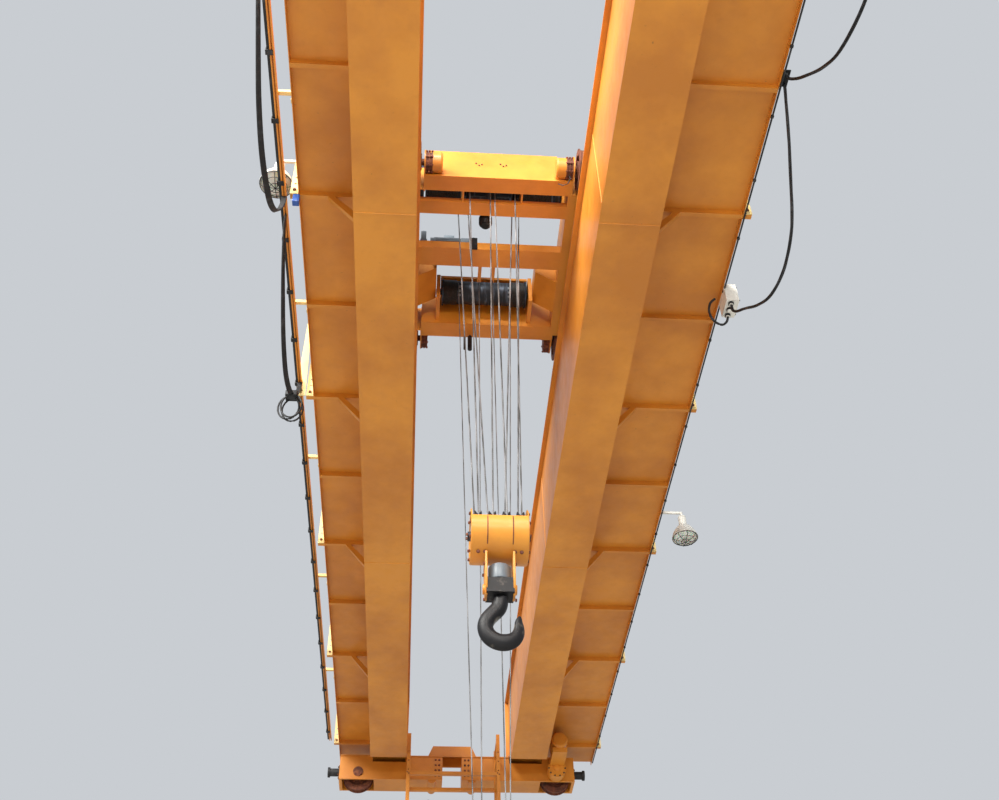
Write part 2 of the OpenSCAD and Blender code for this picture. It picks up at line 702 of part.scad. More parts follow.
// Brown ribbed housings round the ends of the crab's wheel axles, on the inner and outer cheeks
module crab_bearing_boxes() {
  inner_face = gauge / 2 - cheek_x - crab_t / 2 - seat_gap;
  outer_face = gauge / 2 + cheek_x + crab_t / 2 + seat_gap;
  color(wheel_brown)
    for (side = [-1, 1])
      for (end = [-1, 1]) {
        at = [0, crab_y + end * crab_axle_y, crab_wheel_z];
        housing_l = inner_face - housing_face_x;
        difference() {
          union() {
            x_cylinder(at + [side * (housing_face_x + inner_face) / 2, 0, 0], 230, housing_l);
            for (i = [0 : 2])
              x_cylinder(at + [side * (housing_face_x + 8 + i * (housing_l - 16) / 2), 0, 0], 256, 10);
          }
          x_cylinder(at + [side * inner_face, 0, 0], crab_axle_d + 2, 90);
        }
        difference() {
          x_cylinder(at + [side * (outer_face + 35), 0, 0], 230, 70);
          x_cylinder(at + [side * outer_face, 0, 0], crab_axle_d + 2, 90);
        }
      }
}

// Yellow rounded covers on the inner ends of the near axle housings
module wheel_covers() {
  cover_l = 120;
  color(pale_yellow)
    for (side = [-1, 1])
      translate([side * (housing_face_x - seat_gap), crab_y - crab_axle_y, crab_wheel_z])
        rotate([0, side * -90, 0]) rotate_extrude()
          polygon([[0, 0], [126, 0], [126, cover_l - 25], [119, cover_l - 8], [105, cover_l], [0, cover_l]]);
}

// Pedestals that carry the drums' bearings
module drum_pedestals() {
  axis_y = crab_y + main_drum_y;
  color(crane_yellow)
    for (side = [-1, 1]) {
      difference() {
        side_plate(hoist_x + side * pedestal_reach, 80)
          polygon([[axis_y - 200, side_top + seat_gap], [axis_y + 200, side_top + seat_gap],
                   [axis_y + 110, main_drum_z + 110], [axis_y - 110, main_drum_z + 110]]);
        x_cylinder([hoist_x + side * pedestal_reach, axis_y, main_drum_z], 101, 90);
      }
      difference() {
        span_box([hoist_x + side * aux_pedestal_x - 25, crab_y + 600, crab_z + 60],
                 [hoist_x + side * aux_pedestal_x + 25, crab_y + 1000 - seat_gap, aux_deck_z - 10]);
        x_cylinder([hoist_x + side * aux_pedestal_x, crab_y + aux_drum_y, aux_drum_z], 81, 60);
      }
    }
}

// Main gearbox on the left side beam, with the brake drum and the motor, whose bracket stands on a cross beam
module main_hoist_machinery() {
  z = side_top + seat_gap;
  beam_z = crab_z + motor_beam_h + seat_gap;
  motor_y = crab_y + 365;
  motor_z = crab_z + 780;
  drum_y = crab_y + main_drum_y;
  face_x = hoist_x - pedestal_reach - 60;
  color(pale_yellow) union() {
    side_plate(face_x - 170, 340)
      polygon([[drum_y - 330, z], [motor_y + 160, z], [motor_y + 160, motor_z + 60],
               [motor_y + 60, motor_z + 190],
               [drum_y + 120, z + 740], [drum_y - 200, z + 740], [drum_y - 330, z + 600]]);
    x_cylinder([face_x + 130, motor_y, motor_z], 90, 300);
    x_cylinder([face_x + 190, motor_y, motor_z], 250, 90);
    x_cylinder([face_x + 530, motor_y, motor_z], 290, 500);
    side_plate(face_x + 530, 420)
      polygon([[crab_y - 240, beam_z], [crab_y + 5, beam_z], [motor_y + 20, motor_z - 60],
               [motor_y - 130, motor_z - 60]]);
  }
}

// Auxiliary gearbox on the right side beam and its motor over the last cross beam
module aux_hoist_machinery() {
  z = side_top + seat_gap;
  motor_y = crab_y + 1120;
  color(pale_yellow) union() {
    side_plate(side_outer - 30, 260)
      polygon([[crab_y + 560, z], [motor_y + 20, z], [motor_y + 20, z + 380], [motor_y - 120, z + 480],
               [crab_y + 680, z + 480], [crab_y + 560, z + 380]]);
    x_cylinder([side_outer - 240, motor_y - 60, z + 250], 80, 200);
    x_cylinder([side_outer - 520, motor_y - 20, z + 250], 230, 420);
    span_box([side_outer - 660, motor_y - 90, aux_deck_z + seat_gap],
             [side_outer - 380, motor_y + 60, z + 200]);
  }
}

// Sheave turning about X, with a round groove that the rope seats in
module sheave(at, d, w, bore, rope_d) {
  groove_r = rope_d / 2 + 2;
  groove_c = d / 2 + 2 - seat_gap;
  rim_r = d / 2 + rope_d;
  translate(at) rotate([0, 90, 0]) rotate_extrude()
    polygon(concat(
      [[bore / 2, -w / 2], [d * 0.2, -w / 2], [d * 0.2, -w / 5], [d * 0.38, -w / 5], [d * 0.38, -w / 2],
       [rim_r, -w / 2], [rim_r, -w / 2 + 3]],
      [for (a = [-60 : 15 : 60]) [groove_c - groove_r * cos(a), groove_r * sin(a)]],
      [[rim_r, w / 2 - 3], [rim_r, w / 2], [d * 0.38, w / 2], [d * 0.38, w / 5], [d * 0.2, w / 5],
       [d * 0.2, w / 2], [bore / 2, w / 2]]));
}

// Plates that hold the upper sheaves' shaft: they stand on the second cross beam and hang into the slot
module sheave_hangers() {
  y0 = crab_y - 1133 + seat_gap;
  beam_y = crab_y - 975 - seat_gap;
  foot_z = crab_z + sheave_beam_h + seat_gap;
  color(pale_yellow)
    for (side = [-1, 1])
      difference() {
        side_plate(hoist_x + side * hanger_x, 20)
          polygon([[y0, crab_z + 20], [beam_y, crab_z + 20], [beam_y, foot_z], [crab_y - 790, foot_z],
                   [crab_y - 760, upper_sheave_z + 60], [crab_y - 900, upper_sheave_z + 60],
                   [y0, foot_z + 40]]);
        x_cylinder([hoist_x + side * hanger_x, crab_y + main_axis_y, upper_sheave_z], 81, 30);
      }
}

// Fixed sheaves on their shaft, and the balance beam that ends the two middle falls
module upper_sheaves() {
  color(steel_dark) union() {
    for (side = [-1, 1])
      sheave([hoist_x + side * upper_sheave_x, crab_y + main_axis_y, upper_sheave_z], main_sheave_d, 60, 60,
             main_rope_d);
    x_cylinder([hoist_x, crab_y + main_axis_y, upper_sheave_z], 80, 2 * hanger_x + 40);
    span_box([hoist_x - 70, crab_y + main_near_y - 15, balance_z + seat_gap],
             [hoist_x + 70, crab_y + main_axis_y + 40, balance_z + 40]);
    span_box([hoist_x - 15, crab_y + main_axis_y - 30, balance_z + 20],
             [hoist_x + 15, crab_y + main_axis_y + 30, upper_sheave_z]);
  }
}

// Limit switch pulley and weights, hung from the cross beams
module limit_switches() {
  color(hook_black) {
    union() {
      translate([hoist_x - 65, crab_y - 690, crab_z - 70]) cylinder(d1 = 110, d2 = 165, h = 50);
      translate([hoist_x - 65, crab_y - 690, crab_z - 21]) cylinder(d = 165, h = 91);
      span_box([hoist_x - 75, crab_y - 790 + seat_gap, crab_z + 20],
               [hoist_x - 55, crab_y - 690, crab_z + 60]);
    }
    union() {
      span_box([hoist_x - 240, crab_y - 430, crab_z - 180], [hoist_x - 150, crab_y - 400, crab_z + 20]);
      span_box([hoist_x - 200, crab_y - 420, crab_z], [hoist_x - 190, crab_y - 270 - seat_gap, crab_z + 40]);
    }
    for (x = [-235, -165])
      translate([hoist_x + x, crab_y + 1200, crab_z - seat_gap - 280]) union() {
        cylinder(d = x < -200 ? 30 : 60, h = 240);
        cylinder(d = 14, h = 280);
      }
  }
}

// Falls of the main rope: two from the drum, four over the upper sheaves and two from the balance beam
module main_ropes() {
  near_y = main_block_y - main_sheave_d / 2;
  far_y = main_block_y + main_sheave_d / 2;
  color(rope_grey) translate([hoist_x, 0, 0])
    for (side = [-1, 1]) {
      bar([side * main_sheave_xs[3], far_y, main_block_z],
          [side * main_drum_fall_x, crab_y + main_drum_fall_y, main_drum_z], main_rope_d);
      bar([side * main_sheave_xs[3], near_y, main_block_z], [side * upper_sheave_x, near_y, upper_sheave_z],
          main_rope_d);
      bar([side * main_sheave_xs[2], far_y, main_block_z], [side * upper_sheave_x, far_y, upper_sheave_z],
          main_rope_d);
      bar([side * main_sheave_xs[2], near_y, main_block_z], [side * balance_x, near_y, balance_z],
          main_rope_d);
    }
}

// Falls of the auxiliary rope: two from the drum and two from the anchor
module aux_ropes() {
  color(rope_grey) translate([hoist_x, 0, 0])
    for (side = [-1, 1]) {
      bar([side * aux_sheave_x, crab_y + aux_near_y, aux_block_z],
          [side * aux_drum_fall_x, crab_y + aux_near_y, aux_drum_z], aux_rope_d);
      bar([side * aux_sheave_x, crab_y + aux_inner_y, aux_block_z],
          [side * aux_anchor_x, crab_y + aux_inner_y, aux_anchor_z], aux_rope_d);
    }
}

// The two crab wheels at one end, each with its axle
module crab_wheels(end) {
  color(wheel_brown)
    for (side = [-1, 1])
      translate([side * gauge / 2, crab_y + end * crab_axle_y, crab_wheel_z]) rotate([0, 90, 0]) union() {
        wheel(crab_wheel_d, crab_rim, crab_wheel_w);
        cylinder(d = crab_axle_d, h = 2 * (cheek_x + crab_t / 2 + 35), center = true);
      }
}

module crab_wheels_near() { crab_wheels(-1); }
module crab_wheels_far() { crab_wheels(1); }

// Hollow drum turning about X: a barrel at the rope groove's depth, end flanges and stub shafts
module drum(at, d, rope_d, l, shaft_d, reach, wall) {
  barrel_r = (d - rope_d) / 2;
  flange_r = d / 2 + rope_d * 1.5;
  end_t = 20;
  translate(at) rotate([0, 90, 0]) rotate_extrude()
    polygon([[0, -reach], [shaft_d / 2, -reach], [shaft_d / 2, -l / 2],
             [flange_r, -l / 2], [flange_r, -l / 2 + end_t], [barrel_r, -l / 2 + end_t],
             [barrel_r, l / 2 - end_t], [flange_r, l / 2 - end_t], [flange_r, l / 2],
             [shaft_d / 2, l / 2], [shaft_d / 2, reach], [0, reach],
             [0, l / 2 - end_t], [barrel_r - wall, l / 2 - end_t],
             [barrel_r - wall, -l / 2 + end_t], [0, -l / 2 + end_t]]);
}

module main_drum() {
  color(steel_dark)
    drum([hoist_x, crab_y + main_drum_y, main_drum_z], main_drum_d, main_rope_d, main_drum_l, 100,
         pedestal_reach + 50, 25);
}

module aux_drum() {
  color(steel_dark)
    drum([hoist_x, crab_y + aux_drum_y, aux_drum_z], aux_drum_d, aux_rope_d, aux_drum_l, 80,
         aux_pedestal_x + 30, 20);
}

// Round guard under the main block's sheaves, open above for the falls
module main_block_guard() {
  at = [hoist_x, main_block_y, main_block_z];
  color(pale_yellow) difference() {
    x_cylinder(at, 2 * guard_r, 2 * guard_half);
    x_cylinder(at, 2 * guard_r - 20, 2 * guard_half - 20);
    translate(at + [0, 0, 260]) cube([2 * guard_half + 2, 2 * guard_r + 2, 400], center = true);
    x_cylinder(at, 91, 2 * guard_half + 20);
  }
}

// Cheek plates under the guard, with the crosshead between them
module main_block_cheeks() {
  low = crosshead_z - crosshead_h;
  color(pale_yellow) translate([hoist_x, main_block_y, 0]) union() {
    for (side = [-1, 1])
      side_plate(side * block_cheek_x, block_cheek_t)
        polygon([[-150, main_block_z - guard_r - seat_gap], [150, main_block_z - guard_r - seat_gap],
                 [120, crosshead_z + 40], [110, low + 60], [50, low - 10], [-50, low - 10],
                 [-110, low + 60], [-120, crosshead_z + 40]]);
    difference() {
      span_box([-block_cheek_x, -90, low], [block_cheek_x, 90, crosshead_z]);
      translate([0, 0, low - 1]) cylinder(d = main_bowl_r * 1.25 + 2, h = crosshead_h + 2);
    }
    for (side = [-1, 1])
      x_cylinder([side * (block_cheek_x + block_cheek_t / 2 + 8), 0, crosshead_z - crosshead_h / 2], 90, 20);
  }
}

module main_block_sheaves() {
  color(steel_dark) union() {
    for (x = main_sheave_xs)
      sheave([hoist_x + x, main_block_y, main_block_z], main_sheave_d, 60, 60, main_rope_d);
    x_cylinder([hoist_x, main_block_y, main_block_z], 90, 2 * guard_half + 60);
  }
}

// Stations of a forged hook for a bowl of radius 80: X and Z from the bowl's centre, width and thickness
hook_stations = [
  [-30, 290, 148, 142], [-32, 232, 148, 140], [-46, 182, 150, 134], [-88, 132, 150, 126],
  [-140, 70, 146, 122], [-164, 0, 142, 118], [-150, -70, 146, 118], [-112, -122, 152, 120],
  [-54, -154, 156, 122], [4, -160, 156, 122], [56, -146, 148, 118],
  [98, -112, 130, 110], [122, -62, 110, 98], [128, -12, 92, 84], [126, 36, 74, 68], [132, 76, 52, 50],
  [141, 102, 24, 26]
];

// One cross-section of the hook at u, thicker on the bowl's side than on the back
function hook_ring(u, s, n) =
  let (
    p = on_curve(hook_stations, u),
    q = on_curve(hook_stations, min(u + 0.05, len(hook_stations) - 1)) -
        on_curve(hook_stations, max(u - 0.05, 0)),
    along = [q[0], q[1]] / norm([q[0], q[1]])
  )
  [for (j = [0 : n - 1])
    let (
      a = 360 * j / n,
      inward = cos(a) * p[2] / 2,
      across = sin(a) * p[3] / 2 * (1 + 0.16 * cos(a))
    )
    s * [p[0] - inward * along[1], across, p[1] + inward * along[0]]];

// Forged hook hung in a crosshead: its nut stands on the crosshead and its bowl opens towards +X
module forged_hook(at, head_h, bowl_r) {
  s = bowl_r / 80;
  n = 16;
  steps = 2;
  rings = (len(hook_stations) - 1) * steps + 1;
  points = [for (i = [0 : rings - 1]) each hook_ring(i / steps, s, n)];
  drop = head_h + 300 * s;
  translate(at) union() {
    translate([0, 0, seat_gap]) cylinder(d = 200 * s, h = 150 * s);
    translate([0, 0, -head_h - 50 * s]) cylinder(d = 100 * s, h = head_h + 50 * s + 75 * s);
    translate([30 * s, 0, -drop]) polyhedron(points, tube_faces(rings, n), convexity = 6);
  }
}

module main_hook() {
  color(hook_black) forged_hook([hoist_x, main_block_y, crosshead_z], crosshead_h, main_bowl_r);
}

// Auxiliary block: cheek plates, the crosshead and two sheaves
module aux_block_frame() {
  color(pale_yellow) translate([hoist_x, aux_block_y, 0]) union() {
    for (side = [-1, 1])
      difference() {
        side_plate(side * 155, 16)
          polygon([[-60, aux_block_z + 110], [60, aux_block_z + 110], [105, aux_block_z],
                   [80, aux_head_z - aux_head_h],
                   [0, aux_head_z - aux_head_h - 50], [-80, aux_head_z - aux_head_h], [-105, aux_block_z]]);
        x_cylinder([side * 155, 0, aux_block_z], 51, 20);
      }
    difference() {
      span_box([-148, -60, aux_head_z - aux_head_h], [148, 60, aux_head_z]);
      translate([0, 0, aux_head_z - aux_head_h - 1]) cylinder(d = aux_bowl_r * 1.25 + 2, h = aux_head_h + 2);
    }
  }
}

module aux_block_sheaves() {
  color(steel_dark) union() {
    for (x = [-aux_sheave_x, aux_sheave_x])
      sheave([hoist_x + x, aux_block_y, aux_block_z], aux_sheave_d, 44, 40, aux_rope_d);
    x_cylinder([hoist_x, aux_block_y, aux_block_z], 50, 330);
  }
}

module aux_hook() {
  color(hook_black) forged_hook([hoist_x, aux_block_y, aux_head_z], aux_head_h, aux_bowl_r);
}

// Routes of the hanging cables, as Y and Z below the track and below the right walkway's clamps
flat_cable_d = 60;
round_cable_d = 34;
round_x = flange_edge + right_walk_w + 55;
flat_routes = [
  [[-3950, 837], [-3940, 740], [-3700, 560], [-3380, 340], [-2960, 70], [-2640, -100], [-2240, -190],
   [-1850, -150], [-1500, -20], [-1220, 220], [-1030, 520], [-953, 740], [-950, 837]],
  [[-700, 837], [-694, 740], [-560, 560], [-330, 360], [-80, 200], [210, 40], [500, -50], [800, -70],
   [1110, 20], [1400, 190], [1620, 420], [1780, 620], [1847, 740], [1850, 837]]
];
round_routes = [
  [[-2600, 799], [-2593, 690], [-2430, 350], [-2200, -60], [-2000, -400], [-1800, -600], [-1540, -690],
   [-1260, -650], [-970, -530], [-650, -280], [-350, 20], [-120, 230], [-15, 370], [-10, 459]],
  [[-2710, 799], [-2716, 690], [-2850, 450], [-3050, 180], [-3300, -130], [-3600, -390], [-4100, -570],
   [-4600, -540], [-5050, -380], [-5400, -100], [-5680, 230], [-5850, 520], [-5898, 690], [-5900, 799]]
];

// A cable of diameter d swept along a route of Y and Z in the plane at x
module cable(x, route_yz, d, steps) {
  n = 8;
  route = [for (p = route_yz) [x, p[0], p[1]]];
  rings = (len(route) - 1) * steps + 1;
  points = [for (i = [0 : rings - 1])
    let (
      u = i / steps,
      p = on_curve(route, u),
      q = on_curve(route, min(u + 0.05, len(route) - 1)) - on_curve(route, max(u - 0.05, 0)),
      along = q / norm(q),
      side_way = cross(along, [1, 0, 0]) / norm(cross(along, [1, 0, 0])),
      other = cross(side_way, along)
    )
    each [for (j = [0 : n - 1]) p + d / 2 * (cos(360 * j / n) * side_way + sin(360 * j / n) * other)]];
  polyhedron(points, tube_faces(rings, n), convexity = 8);
}

module festoon_cables() {
  color(hook_black) for (route = flat_routes) cable(track_x, route, flat_cable_d, 2);
}

module round_cables() {
  color(hook_black) for (route = round_routes) cable(round_x, route, round_cable_d, 2);
}

girder_left();
girder_right();
crab_rail_left();
crab_rail_right();
crab_end_stops();
end_truck_near();
end_truck_far();
runway_wheels();
buffers();
travel_drive_near();
travel_drive_far();
walkway_left();
walkway_right();
handrail_left();
handrail_right();
festoon_track();
service_cage();
junction_box();
cable_clamps();
lamp_left();
lamp_right();
crab_frame();
crab_bearing_boxes();
wheel_covers();
main_hoist_machinery();
aux_hoist_machinery();
sheave_hangers();
upper_sheaves();
limit_switches();
drum_pedestals();
main_ropes();
aux_ropes();
crab_wheels_near();
crab_wheels_far();
main_drum();
aux_drum();
main_block_guard();
main_block_cheeks();
main_block_sheaves();
main_hook();
aux_block_frame();
aux_block_sheaves();
aux_hook();
festoon_cables();
round_cables();
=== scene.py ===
# Finish of an overhead bridge crane: paint, weld seams, bolts, ropes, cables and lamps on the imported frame.
import json
import math

import bpy
from mathutils import Matrix, Vector

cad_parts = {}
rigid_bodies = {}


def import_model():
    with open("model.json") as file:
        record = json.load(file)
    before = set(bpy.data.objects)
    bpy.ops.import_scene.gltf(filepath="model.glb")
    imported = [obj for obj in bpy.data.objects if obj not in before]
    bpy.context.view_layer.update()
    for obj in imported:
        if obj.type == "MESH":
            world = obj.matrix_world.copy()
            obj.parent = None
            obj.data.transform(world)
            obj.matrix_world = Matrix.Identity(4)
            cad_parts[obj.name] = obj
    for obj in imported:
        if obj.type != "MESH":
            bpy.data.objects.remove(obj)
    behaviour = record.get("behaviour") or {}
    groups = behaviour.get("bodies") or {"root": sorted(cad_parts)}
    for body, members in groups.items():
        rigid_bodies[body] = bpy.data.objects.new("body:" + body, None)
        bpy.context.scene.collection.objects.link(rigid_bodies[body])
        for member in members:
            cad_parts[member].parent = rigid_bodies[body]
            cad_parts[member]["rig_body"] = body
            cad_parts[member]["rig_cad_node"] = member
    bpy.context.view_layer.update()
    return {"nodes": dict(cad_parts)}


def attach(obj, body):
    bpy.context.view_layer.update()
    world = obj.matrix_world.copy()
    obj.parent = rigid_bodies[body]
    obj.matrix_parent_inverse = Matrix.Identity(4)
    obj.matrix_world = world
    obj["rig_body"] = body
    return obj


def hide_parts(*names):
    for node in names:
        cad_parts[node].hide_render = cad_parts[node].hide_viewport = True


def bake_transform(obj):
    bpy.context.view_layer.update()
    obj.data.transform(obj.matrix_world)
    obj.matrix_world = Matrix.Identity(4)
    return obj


bl_info = {
    "name": "Bridge crane finish",
    "version": (1, 0, 0),
    "blender": (4, 5, 0),
    "location": "View3D > Sidebar > Crane",
    "description": "Paints and details a double-girder bridge crane with its crab, ropes, cables and lamps",
    "category": "Object",
}

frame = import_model()
nodes = frame["nodes"]

# Places of the bridge in metres, as the frame has them
GIRDER_X = 1.25
FLANGE_HALF_W = 0.32
WEB_INNER_X = GIRDER_X - 0.25
WEB_OUTER_X = GIRDER_X + 0.25
GIRDER_LOW = 0.22
GIRDER_TOP = GIRDER_LOW + 1.70
GIRDER_FLAT_Y = 10.585
RAIL_X = WEB_INNER_X
TRUCK_Y = 11.45
TRUCK_HALF_W = 0.225
TRUCK_END_X = 2.16
BUFFER_Z = 0.33
RUNWAY_WHEEL_X = 1.80
RUNWAY_WHEEL_Z = 0.25
DECK_HALF_L = 11.825
LEFT_EDGE_X = -2.18
RIGHT_EDGE_X = 2.565
BRACE_Y0 = -1.04
BRACE_PITCH = 3.04
TRACK_X = -2.35
TRACK_Z = 0.86
CAGE_NEAR_Y = 10.465
BOX_SKIN_X = 2.705
BOX_MIDDLE_Y = 0.08
FLOOR_Z = -10.9

# Places of the crab and its two hoists
CRAB_Y = 0.925
CRAB_Z = 2.12
CRAB_AXLE_REACH = 1.425
CRAB_WHEEL_Z = 2.265
NEAR_PLATE_Y = CRAB_Y - 1.290
HOIST_X = -0.06
MAIN_DRUM = (HOIST_X, CRAB_Y - 0.60, CRAB_Z + 0.88)
AUX_DRUM = (HOIST_X, CRAB_Y + 0.74, CRAB_Z + 0.33)
MAIN_MOTOR = (-0.55, 1.29, 2.90)
AUX_MOTOR = (0.63, 2.025, 2.80)
MAIN_GEAR_TOP = 3.0
AUX_GEAR_TOP = 2.80
SHEAVE_R = 0.22
AUX_SHEAVE_R = 0.13
BLOCK_Y = CRAB_Y - 0.83
BLOCK_Z = -2.80
AUX_NEAR_Y = AUX_DRUM[1] - 0.1603
AUX_BLOCK_Y = AUX_NEAR_Y - AUX_SHEAVE_R
AUX_BLOCK_Z = -7.0
UPPER_SHEAVE_Z = CRAB_Z + 0.40
BALANCE_Z = CRAB_Z + 0.26
HEAD_Z = BLOCK_Z - 0.50
AUX_HEAD_Z = AUX_BLOCK_Z - 0.27
MAIN_BOWL = (HOIST_X + 0.030, BLOCK_Y, HEAD_Z - 0.45)
AUX_BOWL = (HOIST_X + 0.017, AUX_BLOCK_Y, AUX_HEAD_Z - 0.239)

# The colour sockets of a Mix node, the roughness of every noise, and how close points are made one
MIX_UNDER = 6
MIX_OVER = 7
MIX_COLOUR = 2
NOISE_ROUGHNESS = 0.6
MERGE = 0.00005


class CraneFinish(bpy.types.PropertyGroup):
    """Colours of the crane's finishes, as sRGB hex values."""

    girder_paint: bpy.props.StringProperty(
        name="Girder enamel", description="Face colour of the structural enamel", default="#E0922A")
    girder_shade: bpy.props.StringProperty(
        name="Weathered enamel", description="Colour of the enamel's weathered patches", default="#C67A20")
    bright_paint: bpy.props.StringProperty(
        name="Bright enamel", description="Colour of the hooks' blocks and the wheels' covers",
        default="#DE9428")
    pale_paint: bpy.props.StringProperty(
        name="Pale enamel", description="Colour of the handrails and the cable track's arms",
        default="#F4DC96")
    iron_primer: bpy.props.StringProperty(
        name="Iron primer", description="Red-brown primer on castings and wheels", default="#6E3B28")
    drum_steel: bpy.props.StringProperty(
        name="Greased steel", description="Greased steel of drums and sheaves", default="#262A32")
    machine_paint: bpy.props.StringProperty(
        name="Machine enamel", description="Enamel of gearboxes and motors", default="#76808A")
    hook_black: bpy.props.StringProperty(
        name="Forging black", description="Black lacquer on the forged hooks", default="#1B1B1E")
    lamp_white: bpy.props.StringProperty(
        name="Lamp white", description="Stove enamel of the lamps and boxes", default="#EEEDE6")


class CraneDetail(bpy.types.PropertyGroup):
    """Sizes of the small parts that are added to the frame."""

    bolt: bpy.props.FloatProperty(
        name="Bolt", description="Half the width of a structural bolt's head across its corners",
        default=0.021, min=0.01, max=0.04, unit="LENGTH")
    bead: bpy.props.FloatProperty(
        name="Weld bead", description="Width of a weld seam",
        default=0.016, min=0.004, max=0.04, unit="LENGTH")
    rope_main: bpy.props.FloatProperty(
        name="Main rope", description="Diameter of the main hoist's rope",
        default=0.018, min=0.01, max=0.03, unit="LENGTH")
    rope_aux: bpy.props.FloatProperty(
        name="Auxiliary rope", description="Diameter of the auxiliary hoist's rope",
        default=0.013, min=0.008, max=0.02, unit="LENGTH")
    ribbon_w: bpy.props.FloatProperty(
        name="Flat cable width", description="Width of the flat cable on the track",
        default=0.06, min=0.04, max=0.12, unit="LENGTH")
    ribbon_t: bpy.props.FloatProperty(
        name="Flat cable thickness", description="Thickness of the flat cable",
        default=0.018, min=0.01, max=0.04, unit="LENGTH")
    cable_d: bpy.props.FloatProperty(
        name="Round cable", description="Diameter of the round cables",
        default=0.034, min=0.02, max=0.05, unit="LENGTH")


class CraneView(bpy.types.PropertyGroup):
    """The viewpoint below the bridge, looking up along the girders."""

    place: bpy.props.FloatVectorProperty(
        name="Place", description="Place of the camera", default=(-0.7282, -8.0884, -8.9826), subtype="XYZ",
        unit="LENGTH")
    pitch: bpy.props.FloatProperty(
        name="Pitch", description="Angle above the horizon", default=math.radians(44.001), subtype="ANGLE")
    yaw: bpy.props.FloatProperty(
        name="Yaw", description="Turn to the right of +Y", default=math.radians(4.946), subtype="ANGLE")
    roll: bpy.props.FloatProperty(
        name="Roll", description="Turn about the line of sight", default=math.radians(1.471), subtype="ANGLE")
    lens: bpy.props.FloatProperty(
        name="Lens", description="Focal length in millimetres on a sensor 36 mm wide", default=40.15,
        min=10, max=200)


def linear(hex_colour):
    """A hex colour turned from sRGB into linear red, green, blue and alpha."""
    parts = [int(hex_colour[i:i + 2], 16) / 255 for i in (1, 3, 5)]
    return [c / 12.92 if c <= 0.04045 else ((c + 0.055) / 1.055) ** 2.4 for c in parts] + [1.0]


def feed(tree, node, inputs):
    """Gives a node its inputs: a node or a socket is linked, and a hex colour is made linear."""
    for name, value in inputs.items():
        if isinstance(value, bpy.types.Node):
            value = value.outputs[0]
        if isinstance(value, bpy.types.NodeSocket):
            tree.links.new(value, node.inputs[name])
        elif isinstance(value, str):
            node.inputs[name].default_value = linear(value)
        else:
            node.inputs[name].default_value = value


def add_node(tree, kind, inputs=None, **options):
    """Adds one shader node with its options and its inputs."""
    made = tree.nodes.new("ShaderNode" + kind)
    for name, value in options.items():
        setattr(made, name, value)
    feed(tree, made, inputs or {})
    return made


def new_material(name):
    """An empty material, its tree, its shader and the object coordinates."""
    material = bpy.data.materials.new(name)
    material.use_nodes = True
    tree = material.node_tree
    tree.nodes.clear()
    shader = add_node(tree, "BsdfPrincipled")
    add_node(tree, "OutputMaterial", {"Surface": shader})
    coords = add_node(tree, "TexCoord").outputs["Object"]
    return material, tree, shader, coords


def clouds(tree, coords, size, detail, stretch=(1, 1, 1)):
    """Noise in clouds so many millimetres across, finer along an axis that is stretched more."""
    placed = add_node(tree, "Mapping", {"Vector": coords, "Scale": stretch})
    return add_node(tree, "TexNoise",
                    {"Vector": placed, "Scale": 1000 / size, "Detail": detail, "Roughness": NOISE_ROUGHNESS})


def patches(tree, coords, size, detail, low, high, faint=0.0, full=1.0, stretch=(1, 1, 1)):
    """Patches so many millimetres across: faint where the noise is low, and full where it is high."""
    noise = clouds(tree, coords, size, detail, stretch)
    return add_node(tree, "MapRange",
                    {"Value": noise, "From Min": low, "From Max": high, "To Min": faint, "To Max": full})


def relief(tree, coords, size, detail, depth, strength=1.0, stretch=(1, 1, 1)):
    """The normals of a rough face, with bumps so many millimetres across and so many metres deep."""
    height = clouds(tree, coords, size, detail, stretch)
    return add_node(tree, "Bump", {"Height": height, "Distance": depth, "Strength": strength})


def layered(tree, base, *layers):
    """A base colour with others laid over it in turn, each where its pattern is full."""
    for pattern, colour in layers:
        mixed = add_node(tree, "Mix", {"Factor": pattern, MIX_UNDER: base, MIX_OVER: colour},
                         data_type="RGBA")
        base = mixed.outputs[MIX_COLOUR]
    return base


def facing_up(tree):
    """How far a face looks up, from -1 to 1."""
    normal = add_node(tree, "NewGeometry").outputs["Normal"]
    return add_node(tree, "SeparateXYZ", {"Vector": normal}).outputs["Z"]


def structural_enamel(name, face, patch, soot="#5A3A1E"):
    """Brushed alkyd enamel on rolled plate: half gloss, with weathered patches, streaks and settled dust."""
    material, tree, shader, coords = new_material(name)
    weather = patches(tree, coords, 1111, 5.0, 0.38, 0.64)
    # Water and dust run down a web in streaks about 110 mm apart and a metre long
    streaks = patches(tree, coords, 111, 3.0, 0.56, 0.80, full=0.30, stretch=(1, 1, 0.12))
    # Soot and grease in specks of 20 to 60 mm, drawn as coarse as shows from the floor
    specks = patches(tree, coords, 38.5, 6.0, 0.66, 0.74, full=0.55)
    sooty = patches(tree, coords, 588, 3.0, 0.45, 0.62)
    grime = add_node(tree, "Math", {0: specks, 1: sooty}, operation="MULTIPLY")
    # Dust lies on what faces up
    level = add_node(tree, "MapRange",
                     {"Value": facing_up(tree), "From Min": 0.6, "From Max": 0.95, "To Max": 0.65})
    settled = patches(tree, coords, 417, 4.0, 0.3, 0.65)
    dust = add_node(tree, "Math", {0: level, 1: settled}, operation="MULTIPLY")
    feed(tree, shader, {
        "Base Color": layered(tree, face, (weather, patch), (streaks, patch), (grime, soot),
                              (dust, "#8E7B5C")),
        "Roughness": patches(tree, coords, 200, 4.0, 0.3, 0.7, 0.42, 0.62),
        # The enamel's gloss shows on faces that are seen at a flat angle
        "Coat Weight": 0.25,
        "Coat Roughness": 0.28,
        # Brush marks and runs, drawn at 70 mm
        "Normal": relief(tree, coords, 71.4, 8.0, 0.0025, 0.6),
    })
    return material


